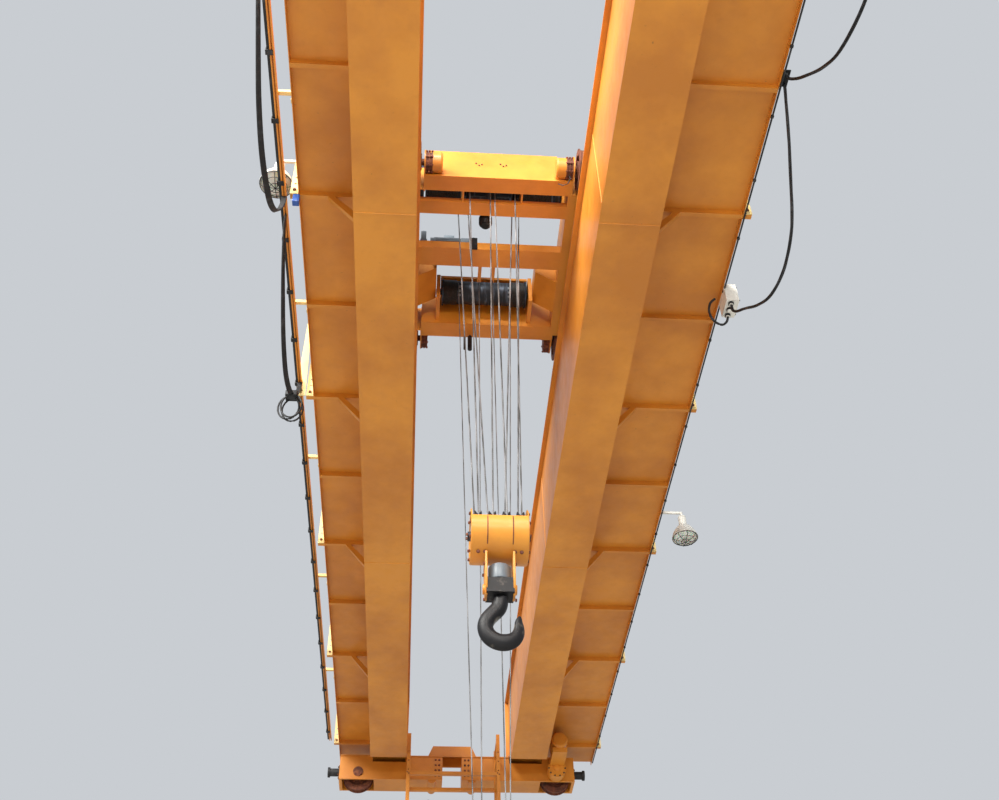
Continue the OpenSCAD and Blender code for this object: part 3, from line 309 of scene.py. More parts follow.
def primed_casting(name, face, rust="#8A5130"):
    """Sand-cast iron in red-brown primer: dull, pitted, with worn and rusty patches."""
    material, tree, shader, coords = new_material(name)
    worn = patches(tree, coords, 62.5, 6.0, 0.50, 0.62)
    dark = patches(tree, coords, 143, 3.0, 0.52, 0.70, full=0.7)
    feed(tree, shader, {
        "Base Color": layered(tree, face, (worn, rust), (dark, "#35221C")),
        "Roughness": 0.72,
        # Sand grains of about 3 mm, drawn at 8 mm
        "Normal": relief(tree, coords, 8.33, 3.0, 0.0015),
    })
    return material


def greased_steel(name, face, shine="#596373"):
    """Turned steel under dark grease: bands of bare metal where the rope runs."""
    material, tree, shader, coords = new_material(name)
    # The bands are about 40 mm wide along the drum and 250 mm long round it
    bare = patches(tree, coords, 250, 5.0, 0.50, 0.70, stretch=(6, 1, 1))
    feed(tree, shader, {
        "Base Color": layered(tree, face, (bare, shine)),
        "Metallic": 0.55,
        "Roughness": add_node(tree, "MapRange", {"Value": bare, "To Min": 0.55, "To Max": 0.36}),
        "Normal": relief(tree, coords, 16.7, 3.0, 0.0008),
    })
    return material


def wire_rope(name, face="#8C8D90", grease="#333231"):
    """Galvanised wire rope: bright wires with grease between the strands."""
    material, tree, shader, coords = new_material(name)
    # Grease clings in lengths of about 330 mm, and changes over 17 mm round the rope
    dark = patches(tree, coords, 333, 4.0, 0.42, 0.58, full=0.9, stretch=(20, 20, 1))
    feed(tree, shader, {
        "Base Color": layered(tree, face, (dark, grease)),
        "Metallic": 0.35,
        "Roughness": 0.5,
        # Wires of about 1 mm, drawn at 3 mm
        "Normal": relief(tree, coords, 3.33, 2.0, 0.0006, stretch=(1, 1, 0.3)),
    })
    return material


def forging_lacquer(name, face, bowl=None, bowl_r=0.08, worn="#6A645C", bare="#B9B6B0"):
    """Drop-forged steel under black lacquer, rubbed to bare steel where the slings lie in the bowl."""
    material, tree, shader, coords = new_material(name)
    rubbed = patches(tree, coords, 111, 6.0, 0.60, 0.72, full=0.75)
    if bowl:
        offset = add_node(tree, "VectorMath", {0: coords, 1: (bowl[0], 0, bowl[2])}, operation="SUBTRACT")
        flat = add_node(tree, "VectorMath", {0: offset, 1: (1, 0, 1)}, operation="MULTIPLY")
        reach = add_node(tree, "VectorMath", {0: flat}, operation="LENGTH").outputs["Value"]
        inner = add_node(tree, "MapRange",
                         {"Value": reach, "From Min": bowl_r * 1.22, "From Max": bowl_r * 1.02})
        scraped = patches(tree, coords, 33.3, 5.0, 0.38, 0.55)
        bright = add_node(tree, "Math", {0: inner, 1: scraped}, operation="MULTIPLY")
        worn = layered(tree, worn, (bright, bare))
        rubbed = add_node(tree, "Math", {0: rubbed, 1: inner}, operation="MAXIMUM")
    feed(tree, shader, {
        "Base Color": layered(tree, face, (rubbed, worn)),
        "Roughness": add_node(tree, "MapRange",
                              {"Value": rubbed, "From Max": 0.75, "To Min": 0.46, "To Max": 0.32}),
        "Metallic": add_node(tree, "MapRange", {"Value": rubbed, "From Max": 0.75, "To Max": 0.6}),
        "Specular IOR Level": 0.25,
        # Hammer scale of about 20 mm
        "Normal": relief(tree, coords, 22.2, 5.0, 0.0012),
    })
    return material


def stove_enamel(name, face, dirt="#9A958A"):
    """Glossy stove enamel on pressed sheet, with grey dust."""
    material, tree, shader, coords = new_material(name)
    dirty = patches(tree, coords, 143, 5.0, 0.50, 0.72, full=0.6)
    feed(tree, shader, {
        "Base Color": layered(tree, face, (dirty, dirt)),
        "Roughness": 0.28,
        "Normal": relief(tree, coords, 50, 3.0, 0.0008),
    })
    return material


def rubber_sheath(name, face="#1B1C1F", scuff="#3B3C40"):
    """Extruded rubber: dull black with grey scuffs."""
    material, tree, shader, coords = new_material(name)
    scuffed = patches(tree, coords, 83.3, 5.0, 0.52, 0.70)
    feed(tree, shader, {
        "Base Color": layered(tree, face, (scuffed, scuff)),
        "Roughness": 0.62,
        # The extruder's grain is under 1 mm, drawn at 11 mm
        "Normal": relief(tree, coords, 11.1, 2.0, 0.0006),
    })
    return material


def rolled_rail(name, face="#5A4A40", bright="#9A989A"):
    """Rolled rail steel: rusty sides and a head that wheels keep bright."""
    material, tree, shader, coords = new_material(name)
    head = add_node(tree, "MapRange", {"Value": facing_up(tree), "From Min": 0.8, "From Max": 0.98})
    rusty = patches(tree, coords, 55.6, 5.0, 0.4, 0.65)
    feed(tree, shader, {
        "Base Color": layered(tree, face, (rusty, "#7A4A2E"), (head, bright)),
        "Roughness": add_node(tree, "MapRange", {"Value": head, "To Min": 0.7, "To Max": 0.3}),
        "Metallic": 0.5,
        "Normal": relief(tree, coords, 14.3, 4.0, 0.0008),
    })
    return material


def opal_glass(name):
    """Opal lamp glass: white, smooth and a little translucent."""
    material, tree, shader, coords = new_material(name)
    cloudy = patches(tree, coords, 71.4, 2.0, 0.3, 0.7)
    feed(tree, shader, {
        "Base Color": layered(tree, "#F4F4EE", (cloudy, "#E4E4DA")),
        "Roughness": 0.12,
        "Subsurface Weight": 0.3,
    })
    return material


def make_materials(finish):
    """All finishes by the part of the crane that they cover."""
    return {
        "enamel": structural_enamel("structural_enamel", finish.girder_paint, finish.girder_shade),
        "bright": structural_enamel("bright_enamel", finish.bright_paint, "#C8802A", "#6A4A20"),
        "pale": structural_enamel("pale_enamel", finish.pale_paint, "#DDC07A", "#8A7340"),
        "machine": structural_enamel("machine_enamel", finish.machine_paint, "#5C666E", "#2E3030"),
        "casting": primed_casting("primed_casting", finish.iron_primer),
        "steel": greased_steel("greased_steel", finish.drum_steel),
        "rope": wire_rope("galvanised_wire_rope"),
        "greased_rope": wire_rope("greased_wire_rope", "#3E3C3A", "#1D1C1E"),
        "hook": forging_lacquer("forging_lacquer", finish.hook_black),
        "main_hook": forging_lacquer("main_forging_lacquer", finish.hook_black, MAIN_BOWL, 0.08),
        "aux_hook": forging_lacquer("auxiliary_forging_lacquer", finish.hook_black, AUX_BOWL, 0.045),
        "white": stove_enamel("stove_enamel", finish.lamp_white),
        "blue": stove_enamel("blue_bracket_enamel", "#2D58A8", "#1D3560"),
        "rubber": rubber_sheath("rubber_sheath"),
        "rail": rolled_rail("rolled_rail_steel"),
        "glass": opal_glass("opal_glass"),
    }


FINISHES = {}


def deselect():
    """Leaves nothing selected, in object mode."""
    if bpy.context.object and bpy.context.object.mode != "OBJECT":
        bpy.ops.object.mode_set(mode="OBJECT")
    bpy.ops.object.select_all(action="DESELECT")


def pick(obj):
    """Selects one object alone and makes it active."""
    deselect()
    obj.select_set(True)
    bpy.context.view_layer.objects.active = obj
    return obj


def apply_modifier(obj, kind, **settings):
    """Adds a modifier and applies it."""
    pick(obj)
    modifier = obj.modifiers.new(kind.lower(), kind)
    for name, value in settings.items():
        setattr(modifier, name, value)
    bpy.ops.object.modifier_apply(modifier=modifier.name)
    return obj


def settle(obj):
    """Puts an object's place, turn and scale into its mesh."""
    pick(obj)
    bpy.ops.object.transform_apply(location=True, rotation=True, scale=True)
    return obj


def outward(obj):
    """Merges doubled points and turns the faces outwards."""
    pick(obj)
    bpy.ops.object.mode_set(mode="EDIT")
    bpy.ops.mesh.select_all(action="SELECT")
    bpy.ops.mesh.remove_doubles(threshold=MERGE)
    bpy.ops.mesh.normals_make_consistent(inside=False)
    bpy.ops.object.mode_set(mode="OBJECT")
    return obj


def joined(parts):
    """Several objects made one."""
    if len(parts) == 1:
        return pick(parts[0])
    pick(parts[0])
    for part in parts:
        part.select_set(True)
    bpy.ops.object.join()
    return bpy.context.object


def copies(obj, places):
    """Copies of a modelled object, each moved by a matrix with its own mesh, made one."""
    made = []
    for place in places:
        twin = obj.copy()
        twin.data = obj.data.copy()
        twin.data.transform(place)
        bpy.context.scene.collection.objects.link(twin)
        made.append(twin)
    bpy.data.objects.remove(obj)
    return joined(made)


def facing(at, normal):
    """The matrix that turns +Z to a direction and moves the origin to a point."""
    turn = Vector((0, 0, 1)).rotation_difference(Vector(normal))
    return Matrix.Translation(Vector(at)) @ turn.to_matrix().to_4x4()


def dress(obj, name, finish, body, replaces=(), smooth=30):
    """Names a finished piece, gives it its finish and lets it ride on its body."""
    pick(obj)
    obj.name = name
    obj.data.name = name
    if smooth:
        bpy.ops.object.shade_smooth_by_angle(angle=math.radians(smooth))
    obj.data.materials.clear()
    obj.data.materials.append(FINISHES[finish])
    if body:
        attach(obj, body)
    if replaces:
        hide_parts(*replaces)
    return obj


def bevelled_box(low, high, edge):
    """A box between two corners with softened edges."""
    low, high = Vector(low), Vector(high)
    deselect()
    bpy.ops.mesh.primitive_cube_add(size=1, location=(low + high) / 2)
    obj = bpy.context.object
    obj.scale = high - low
    settle(obj)
    return apply_modifier(obj, "BEVEL", width=edge, segments=2)


def outline_ring(points):
    """A closed ring of edges through points, started from a circle."""
    deselect()
    bpy.ops.mesh.primitive_circle_add(vertices=len(points), radius=1)
    obj = bpy.context.object
    for vertex, point in zip(obj.data.vertices, points):
        vertex.co = point
    return obj


def turned(profile, place, steps=40):
    """A closed outline of radius and height spun about +Z, then put in place."""
    obj = outline_ring([(r, 0, z) for r, z in profile])
    apply_modifier(obj, "SCREW", angle=math.tau, steps=steps, render_steps=steps, axis="Z",
                   use_merge_vertices=True, merge_threshold=MERGE)
    outward(obj)
    obj.data.transform(place)
    return obj


def plate(outline, depth, place, edge):
    """A flat outline in X and Y pulled up by its depth, with softened edges, then put in place."""
    obj = outline_ring([(x, y, 0) for x, y in outline])
    pick(obj)
    bpy.ops.object.mode_set(mode="EDIT")
    bpy.ops.mesh.select_all(action="SELECT")
    bpy.ops.mesh.edge_face_add()
    bpy.ops.mesh.extrude_region_move(TRANSFORM_OT_translate={"value": (0, 0, depth)})
    bpy.ops.object.mode_set(mode="OBJECT")
    outward(obj)
    apply_modifier(obj, "BEVEL", width=edge, segments=2)
    obj.data.transform(place)
    return obj


def around(count, start=0.0):
    """The cosine and sine of so many even turns, the first one moved on by a share of their pitch."""
    turns = [math.tau * (k + start) / count for k in range(count)]
    return [(math.cos(turn), math.sin(turn)) for turn in turns]


def bolt_circle(middle, out, radius, count, start=0.0):
    """Spots of bolts in a circle on an upright face that looks along X or along Y."""
    middle = Vector(middle)
    across = Vector((0, 1, 0)) if out[0] else Vector((1, 0, 0))
    up = Vector((0, 0, 1))
    return [(middle + (across * c + up * s) * radius, out) for c, s in around(count, start)]


def hex_bolt(size):
    """A hexagon head on a washer, standing on +Z."""
    deselect()
    bpy.ops.mesh.primitive_cylinder_add(vertices=6, radius=size, depth=size * 0.8,
                                        location=(0, 0, size * 0.55))
    head = settle(bpy.context.object)
    select_faces(head, lambda centre, normal: normal.z > 0.9)
    bpy.ops.mesh.inset(thickness=size * 0.14)
    bpy.ops.transform.translate(value=(0, 0, size * 0.1))
    bpy.ops.object.mode_set(mode="OBJECT")
    deselect()
    bpy.ops.mesh.primitive_cylinder_add(vertices=12, radius=size * 1.2, depth=size * 0.18,
                                        location=(0, 0, size * 0.06))
    washer = settle(bpy.context.object)
    return joined([head, washer])


def bolts(size, spots):
    """Bolts at spots, each a point and the direction that its head faces."""
    return copies(hex_bolt(size), [facing(at, normal) for at, normal in spots])


def on_curve(points, u):
    """Point on a smooth curve through points, at u counted in points."""
    i = min(int(u), len(points) - 2)
    f = u - i
    a, b, c, d = (Vector(points[max(0, min(k, len(points) - 1))]) for k in (i - 1, i, i + 1, i + 2))
    return (b + f * (c - a) / 2 + f * f * (2 * a - 5 * b + 4 * c - d) / 2
            + f ** 3 * (3 * b - a - 3 * c + d) / 2)


def smooth_line(points, steps):
    """Points along the smooth curve, so many to each stretch."""
    count = (len(points) - 1) * steps
    return [on_curve(points, i / steps) for i in range(count + 1)]


def swept(name, line, profile, twist=0.0, start=0.0):
    """A closed tube along a line. Its profile's first axis is along X where the line lies in Y and Z."""
    across = Vector((1, 0, 0))
    corners = []
    for i, point in enumerate(line):
        along = (line[min(i + 1, len(line) - 1)] - line[max(i - 1, 0)]).normalized()
        if abs(along.dot(across)) > 0.9:
            side = Vector((0, 1, 0))
        else:
            side = (across - along * across.dot(along)).normalized()
        rise = along.cross(side)
        turn = start + twist * i / (len(line) - 1)
        first = side * math.cos(turn) + rise * math.sin(turn)
        second = rise * math.cos(turn) - side * math.sin(turn)
        corners += [point + first * a + second * b for a, b in profile]
    n = len(profile)
    last = len(line) - 1
    faces = [[i * n + j, i * n + (j + 1) % n, (i + 1) * n + (j + 1) % n, (i + 1) * n + j]
             for i in range(last) for j in range(n)]
    faces += [list(range(n)), [last * n + j for j in range(n)]]
    mesh = bpy.data.meshes.new(name)
    mesh.from_pydata([tuple(p) for p in corners], [], faces)
    obj = bpy.data.objects.new(name, mesh)
    bpy.context.scene.collection.objects.link(obj)
    return outward(obj)


def round_profile(diameter, sides=12):
    """A round profile for a swept tube."""
    return [(c * diameter / 2, s * diameter / 2) for c, s in around(sides)]


def ribbon_profile(width, thickness, cores=5):
    """The profile of a flat cable whose cores show as low ridges on both sides."""
    per = 4
    upper = []
    for k in range(cores * per + 1):
        x = -width / 2 + width * k / (cores * per)
        ridge = 0.72 + 0.28 * abs(math.sin(math.pi * k / per))
        end = 0.45 if k in (0, cores * per) else 1.0
        upper.append((x, thickness / 2 * ridge * end))
    return upper + [(x, -z) for x, z in reversed(upper)]


def ring_wire(centre, radius, diameter):
    """A closed wire ring lying level round a point."""
    profile = [(radius + x, z) for x, z in round_profile(diameter, 6)]
    return turned(profile, Matrix.Translation(centre), 28)


def wire(points, diameter, closed=False, sides=8):
    """A bent round wire through points."""
    line = [Vector(p) for p in points]
    if closed:
        line = line + [line[0], line[1]]
    return swept("wire", line, round_profile(diameter, sides))


def lay_rope(start, end, diameter):
    """A rope between two points, whose six strands take one turn to eight diameters."""
    start, end = Vector(start), Vector(end)
    length = (end - start).length
    turns = length / (diameter * 8)
    strands = 6
    sides = strands * 3
    ring = []
    for k in range(sides):
        a = math.tau * k / sides
        radius = diameter / 2 * (0.86 + 0.14 * math.cos(strands * a))
        ring.append((radius * math.cos(a), radius * math.sin(a), 0))
    obj = outline_ring(ring)
    pick(obj)
    bpy.ops.object.mode_set(mode="EDIT")
    bpy.ops.mesh.select_all(action="SELECT")
    bpy.ops.mesh.edge_face_add()
    bpy.ops.object.mode_set(mode="OBJECT")
    steps = max(2, round(turns * 6))
    apply_modifier(obj, "SCREW", angle=math.tau * turns, screw_offset=length, steps=steps, render_steps=steps,
                   axis="Z", use_merge_vertices=False)
    outward(obj)
    obj.data.transform(facing(start, end - start))
    return obj


def weld_bead(start, end, width):
    """A raised weld seam between two points."""
    start, end = Vector(start), Vector(end)
    deselect()
    bpy.ops.mesh.primitive_cylinder_add(vertices=8, radius=width / 2, depth=(end - start).length,
                                        location=(0, 0, (end - start).length / 2))
    obj = settle(bpy.context.object)
    obj.data.transform(facing(start, end - start))
    return obj


def soften(obj, edge):
    """Bevels an object's sharp edges."""
    return apply_modifier(obj, "BEVEL", width=edge, segments=2, limit_method="ANGLE",
                          angle_limit=math.radians(40))


def copy_of_node(name, edge=0.0):
    """A merged copy of a CAD node, whose edges may be softened."""
    twin = nodes[name].copy()
    twin.data = nodes[name].data.copy()
    twin.parent = None
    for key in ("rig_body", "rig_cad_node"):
        if key in twin:
            del twin[key]
    bpy.context.scene.collection.objects.link(twin)
    pick(twin)
    bpy.ops.object.mode_set(mode="EDIT")
    bpy.ops.mesh.select_all(action="SELECT")
    bpy.ops.mesh.remove_doubles(threshold=0.0001)
    bpy.ops.mesh.dissolve_limited(angle_limit=math.radians(1))
    bpy.ops.object.mode_set(mode="OBJECT")
    if edge:
        soften(twin, edge)
    return twin


def select_faces(obj, test):
    """Goes into edit mode with only the faces selected that pass a test of their centre and normal."""
    pick(obj)
    bpy.ops.object.mode_set(mode="EDIT")
    bpy.ops.mesh.select_mode(type="FACE")
    bpy.ops.mesh.select_all(action="DESELECT")
    bpy.ops.object.mode_set(mode="OBJECT")
    for face in obj.data.polygons:
        face.select = test(face.center, face.normal)
    bpy.ops.object.mode_set(mode="EDIT")


def parted(obj, test):
    """Takes the faces that pass a test off an object, and gives them as a new object."""
    select_faces(obj, test)
    bpy.ops.mesh.separate(type="SELECTED")
    bpy.ops.object.mode_set(mode="OBJECT")
    return [other for other in bpy.context.selected_objects if other is not obj][0]


def brace_rows():
    """Places of the knee braces along the girders."""
    half = DECK_HALF_L - 0.3
    first = math.ceil((-half - BRACE_Y0) / BRACE_PITCH)
    last = math.floor((half - BRACE_Y0) / BRACE_PITCH)
    return [BRACE_Y0 + k * BRACE_PITCH for k in range(first, last + 1)]


class CRANE_OT_paint_frame(bpy.types.Operator):
    """Give every CAD node its finish"""

    bl_idname = "crane.paint_frame"
    bl_label = "Paint the frame"

    def execute(self, context):
        FINISHES.update(make_materials(context.scene.crane_finish))
        groups = {
            "enamel": ["girder_left", "girder_right", "crab_end_stops", "end_truck_near", "end_truck_far",
                       "walkway_left", "walkway_right", "service_cage", "crab_frame", "drum_pedestals",
                       "travel_drive_near", "travel_drive_far"],
            "bright": ["wheel_covers", "sheave_hangers", "main_block_guard", "main_block_cheeks",
                       "aux_block_frame"],
            "pale": ["handrail_left", "handrail_right", "festoon_track"],
            "machine": ["main_hoist_machinery", "aux_hoist_machinery"],
            "casting": ["crab_bearing_boxes", "crab_wheels_near", "crab_wheels_far", "runway_wheels"],
            "steel": ["main_drum", "aux_drum", "upper_sheaves", "main_block_sheaves", "aux_block_sheaves"],
            "rope": ["main_ropes", "aux_ropes"],
            "hook": ["main_hook", "aux_hook", "limit_switches", "cable_clamps"],
            "white": ["junction_box", "lamp_left", "lamp_right"],
            "rubber": ["buffers", "festoon_cables", "round_cables"],
            "rail": ["crab_rail_left", "crab_rail_right"],
        }
        for finish, names in groups.items():
            for name in names:
                node = nodes[name]
                node.data.materials.clear()
                node.data.materials.append(FINISHES[finish])
        return {"FINISHED"}


# Routes of the hanging cables, as Y and Z in metres
FLAT_ROUTES = [
    [(-3.95, 0.837), (-3.94, 0.74), (-3.70, 0.56), (-3.38, 0.34), (-2.96, 0.07), (-2.64, -0.10),
     (-2.24, -0.19), (-1.85, -0.15), (-1.50, -0.02), (-1.22, 0.22), (-1.03, 0.52), (-0.953, 0.74),
     (-0.95, 0.837)],
    [(-0.70, 0.837), (-0.694, 0.74), (-0.56, 0.56), (-0.33, 0.36), (-0.08, 0.20), (0.21, 0.04), (0.50, -0.05),
     (0.80, -0.07), (1.11, 0.02), (1.40, 0.19), (1.62, 0.42), (1.78, 0.62), (1.847, 0.74), (1.85, 0.837)],
]
ROUND_ROUTES = [
    [(-2.60, 0.799), (-2.593, 0.69), (-2.43, 0.35), (-2.20, -0.06), (-2.00, -0.40), (-1.80, -0.60),
     (-1.54, -0.69), (-1.26, -0.65), (-0.97, -0.53), (-0.65, -0.28), (-0.35, 0.02), (-0.12, 0.23),
     (-0.015, 0.37), (-0.01, 0.459)],
    [(-2.71, 0.799), (-2.716, 0.69), (-2.85, 0.45), (-3.05, 0.18), (-3.30, -0.13), (-3.60, -0.39),
     (-4.10, -0.57), (-4.60, -0.54), (-5.05, -0.38), (-5.40, -0.10), (-5.68, 0.23), (-5.85, 0.52),
     (-5.898, 0.69), (-5.90, 0.799)],
]


class CRANE_OT_hang_cables(bpy.types.Operator):
    """Hang the flat cables under their track and the round cables beside the right walkway"""

    bl_idname = "crane.hang_cables"
    bl_label = "Hang the cables"

    def execute(self, context):
        detail = context.scene.crane_detail
        ribbon = ribbon_profile(detail.ribbon_w, detail.ribbon_t)
        strand = [(x + detail.cable_d * 0.26, y) for x, y in round_profile(detail.cable_d * 0.48, 10)]
        # A flat cable takes a quarter turn on its way, and the three strands of a round one take two turns
        sets = (
            ("flat_cable", FLAT_ROUTES, TRACK_X, ribbon, (0.25,), 0.25, detail.ribbon_w, "festoon_cables"),
            ("round_cable", ROUND_ROUTES, RIGHT_EDGE_X + 0.055, strand, (0.0, 1 / 3, 2 / 3), 2.0,
             detail.cable_d, "round_cables"),
        )
        for label, routes, x, profile, starts, turns, width, node in sets:
            for i, route in enumerate(routes):
                line = smooth_line([(x, y, z) for y, z in route], 6)
                name = f"{label}_{i + 1}"
                strands = [swept(name, line, profile, math.tau * turns, math.tau * start) for start in starts]
                obj = dress(joined(strands), name, "rubber", "bridge", [node], smooth=50)
        return {"FINISHED"}


def rope_falls(name, falls, diameter, node):
    """A hoist's falls, which stretch between the crab and its block. Their X is from the hoist's middle."""
    ropes = [lay_rope((HOIST_X + a[0], a[1], a[2]), (HOIST_X + b[0], b[1], b[2]), diameter) for a, b in falls]
    obj = dress(joined(ropes), name, "rope", None, smooth=60)
    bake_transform(obj)
    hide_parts(node)


class CRANE_OT_reeve_ropes(bpy.types.Operator):
    """Lay the rope falls between the crab and the two blocks"""

    bl_idname = "crane.reeve_ropes"
    bl_label = "Reeve the ropes"

    def execute(self, context):
        detail = context.scene.crane_detail
        near, far = BLOCK_Y - SHEAVE_R, BLOCK_Y + SHEAVE_R
        drum_face = MAIN_DRUM[1] + 0.2506
        outer, inner = 0.195, 0.065
        main_falls = []
        for side in (-1, 1):
            main_falls += [
                ((side * 0.40, drum_face, MAIN_DRUM[2]), (side * outer, far, BLOCK_Z)),
                ((side * 0.28, near, UPPER_SHEAVE_Z), (side * outer, near, BLOCK_Z)),
                ((side * 0.28, far, UPPER_SHEAVE_Z), (side * inner, far, BLOCK_Z)),
                ((side * 0.025, near, BALANCE_Z), (side * inner, near, BLOCK_Z)),
            ]
        rope_falls("main_rope_falls", main_falls, detail.rope_main,
                   "main_ropes")

        anchor_y = AUX_NEAR_Y - 2 * AUX_SHEAVE_R
        anchor_z = CRAB_Z + 0.10
        sheave_x = 0.11
        aux_falls = []
        for side in (-1, 1):
            aux_falls += [
                ((side * 0.345, AUX_NEAR_Y, AUX_DRUM[2]), (side * sheave_x, AUX_NEAR_Y, AUX_BLOCK_Z)),
                ((side * 0.087, anchor_y, anchor_z), (side * sheave_x, anchor_y, AUX_BLOCK_Z)),
            ]
        rope_falls("aux_rope_falls", aux_falls, detail.rope_aux,
                   "aux_ropes")
        return {"FINISHED"}


class CRANE_OT_finish_hooks(bpy.types.Operator):
    """Smooth the two forged hooks"""

    bl_idname = "crane.finish_hooks"
    bl_label = "Finish the hooks"

    def execute(self, context):
        for node, seat in (("main_hook", HEAD_Z), ("aux_hook", AUX_HEAD_Z)):
            forging = copy_of_node(node)
            nut = parted(forging, lambda centre, normal: centre.z > seat - 0.001)
            apply_modifier(forging, "SUBSURF", levels=1, render_levels=1)
            soften(nut, 0.006)
            dress(forging, node + "_forging", node, node, [node], smooth=50)
            dress(nut, node + "_nut", "machine", node, [node], smooth=40)
        return {"FINISHED"}


class CRANE_OT_finish_blocks(bpy.types.Operator):
    """Part the black crossheads from the bright plates, and bolt up the two hook blocks"""

    bl_idname = "crane.finish_blocks"
    bl_label = "Finish the hook blocks"

    def execute(self, context):
        size = context.scene.crane_detail.bolt
        heads = (("main_block_cheeks", "main_block", 0.110), ("aux_block_frame", "aux_block", 0.143))
        for node, body, reach in heads:
            plates = copy_of_node(node)
            head = parted(plates, lambda centre, normal: abs(centre.x - HOIST_X) < reach)
            soften(plates, 0.003)
            dress(plates, body + "_plates", "bright", body, [node])
            dress(head, body + "_crosshead", "hook", body, [node])

        # End rings of the main block's guard, each with ten bolts, and two keeper bolts of the sheaves' pin
        middle = Vector((HOIST_X, BLOCK_Y, BLOCK_Z))
        ring = [(0.190, -0.002), (0.256, -0.002), (0.256, 0.004), (0.250, 0.008), (0.190, 0.008)]
        rings = []
        spots = []
        for side in (-1, 1):
            out = Vector((side, 0, 0))
            face = middle + out * 0.255
            rings.append(turned(ring, facing(face, out)))
            spots += bolt_circle(face + out * 0.008, out, 0.222, 10)
            spots += [(face + out * 0.030 + Vector((0, y, 0)), out) for y in (-0.032, 0.032)]
        dress(joined(rings), "block_end_rings", "bright", "main_block")
        dress(bolts(size * 0.65, spots), "block_ring_bolts", "casting", "main_block")

        straps = []
        guard_r = 0.261
        turns = [math.radians(a) for a in range(-50, 14, 6)]
        for x in (-0.115, 0.115):
            straps.append(wire([middle + Vector((x, -math.cos(turn) * guard_r, math.sin(turn) * guard_r))
                                for turn in turns], 0.010))
        dress(joined(straps), "block_guard_straps", "casting", "main_block", smooth=60)

        # Bolts of the guard's ears, and of the cheek plates
        spots = []
        for side in (-1, 1):
            for x in (side * 0.1345, side * 0.195):
                spots.append((middle + Vector((x, -0.11, -0.245)), (0, -1, -0.3)))
            for y, z in ((-0.09, -0.36), (0.09, -0.36), (0.0, -0.68)):
                spots.append((middle + Vector((side * 0.134, y, z)), (side, 0, 0)))
        dress(bolts(size * 0.7, spots), "block_plate_bolts", "casting", "main_block")

        middle = Vector((HOIST_X, AUX_BLOCK_Y, AUX_BLOCK_Z))
        spots = [(middle + Vector((side * 0.163, y, z)), (side, 0, 0)) for side in (-1, 1)
                 for y, z in ((-0.05, -0.06), (0.05, -0.06), (0.0, 0.09), (0.0, -0.34))]
        dress(bolts(size * 0.55, spots), "aux_block_bolts", "casting", "aux_block")
        return {"FINISHED"}


class CRANE_OT_wind_drums(bpy.types.Operator):
    """Wind the ropes on the two drums and clamp them"""

    bl_idname = "crane.wind_drums"
    bl_label = "Wind the drums"

    def execute(self, context):
        detail = context.scene.crane_detail
        # Each drum's body, middle, radius, rope, the windings' start and end from its middle, and their pitch
        drums = (
            ("main_drum", MAIN_DRUM, 0.25, detail.rope_main, 0.400, 0.79, 0.0200),
            ("aux_drum", AUX_DRUM, 0.16, detail.rope_aux, 0.360, 0.54, 0.0145),
        )
        for body, middle, radius, rope, low, high, pitch in drums:
            turns = (high - low) / pitch
            steps = round(turns * 36)
            windings = []
            blocks = []
            for side in (-1, 1):
                coil = outline_ring([(radius + x, 0, z) for x, z in round_profile(rope, 8)])
                apply_modifier(coil, "SCREW", angle=math.tau * turns, screw_offset=high - low, steps=steps,
                               render_steps=steps, axis="Z", use_merge_vertices=False)
                coil.data.transform(facing(Vector(middle) + Vector((side * low, 0, 0)), (side, 0, 0)))
                windings.append(outward(coil))
                foot = Vector(middle) + Vector((side * (low - 0.03), 0, 0))
                for turn in (200, 220, 240):
                    out = Vector((0, math.cos(math.radians(turn)), math.sin(math.radians(turn))))
                    clamp = bevelled_box((-0.018, -0.014, -0.002), (0.018, 0.014, 0.020), 0.003)
                    clamp.data.transform(facing(foot + out * (radius - rope / 2), out))
                    blocks.append(clamp)
            dress(joined(windings), body + "_windings", "greased_rope", body, smooth=60)
            dress(joined(blocks), body + "_clamps", "machine", body)
        return {"FINISHED"}


def finned_motor(middle, axis, radius, length):
    """A motor's finned barrel, fan cowl, front shield and terminal box about a point, along a direction."""
    middle, axis = Vector(middle), Vector(axis)
    ribs = 26
    # Each rib takes the wider share of its pitch and stands out by a twentieth
    corners = ((0.0, 1.0), (0.32, 1.0), (0.36, 1.05), (0.96, 1.05))
    outline = []
    for k in range(ribs):
        for share, reach in corners:
            turn = math.tau * (k + share) / ribs
            outline.append((math.cos(turn) * radius * reach, math.sin(turn) * radius * reach))
    barrel = plate(outline, length * 0.66, facing(middle - axis * length * 0.36, axis), 0.0008)
    cowl = [(0.0, 0.0), (radius * 1.05, 0.0), (radius * 1.08, 0.01), (radius * 1.08, length * 0.22),
            (radius * 0.9, length * 0.27), (0.0, length * 0.27)]
    shield = [(0.0, 0.0), (radius * 0.8, 0.0), (radius * 1.06, 0.03), (radius * 1.06, 0.055), (0.0, 0.055)]
    box_low = middle + Vector((-0.07, -0.06, radius * 0.95))
    return [
        barrel,
        turned(cowl, facing(middle + axis * length * 0.32, axis)),
        turned(shield, facing(middle - axis * (length * 0.36 + 0.05), axis)),
        bevelled_box(box_low, box_low + Vector((0.14, 0.12, 0.09)), 0.006),
    ]


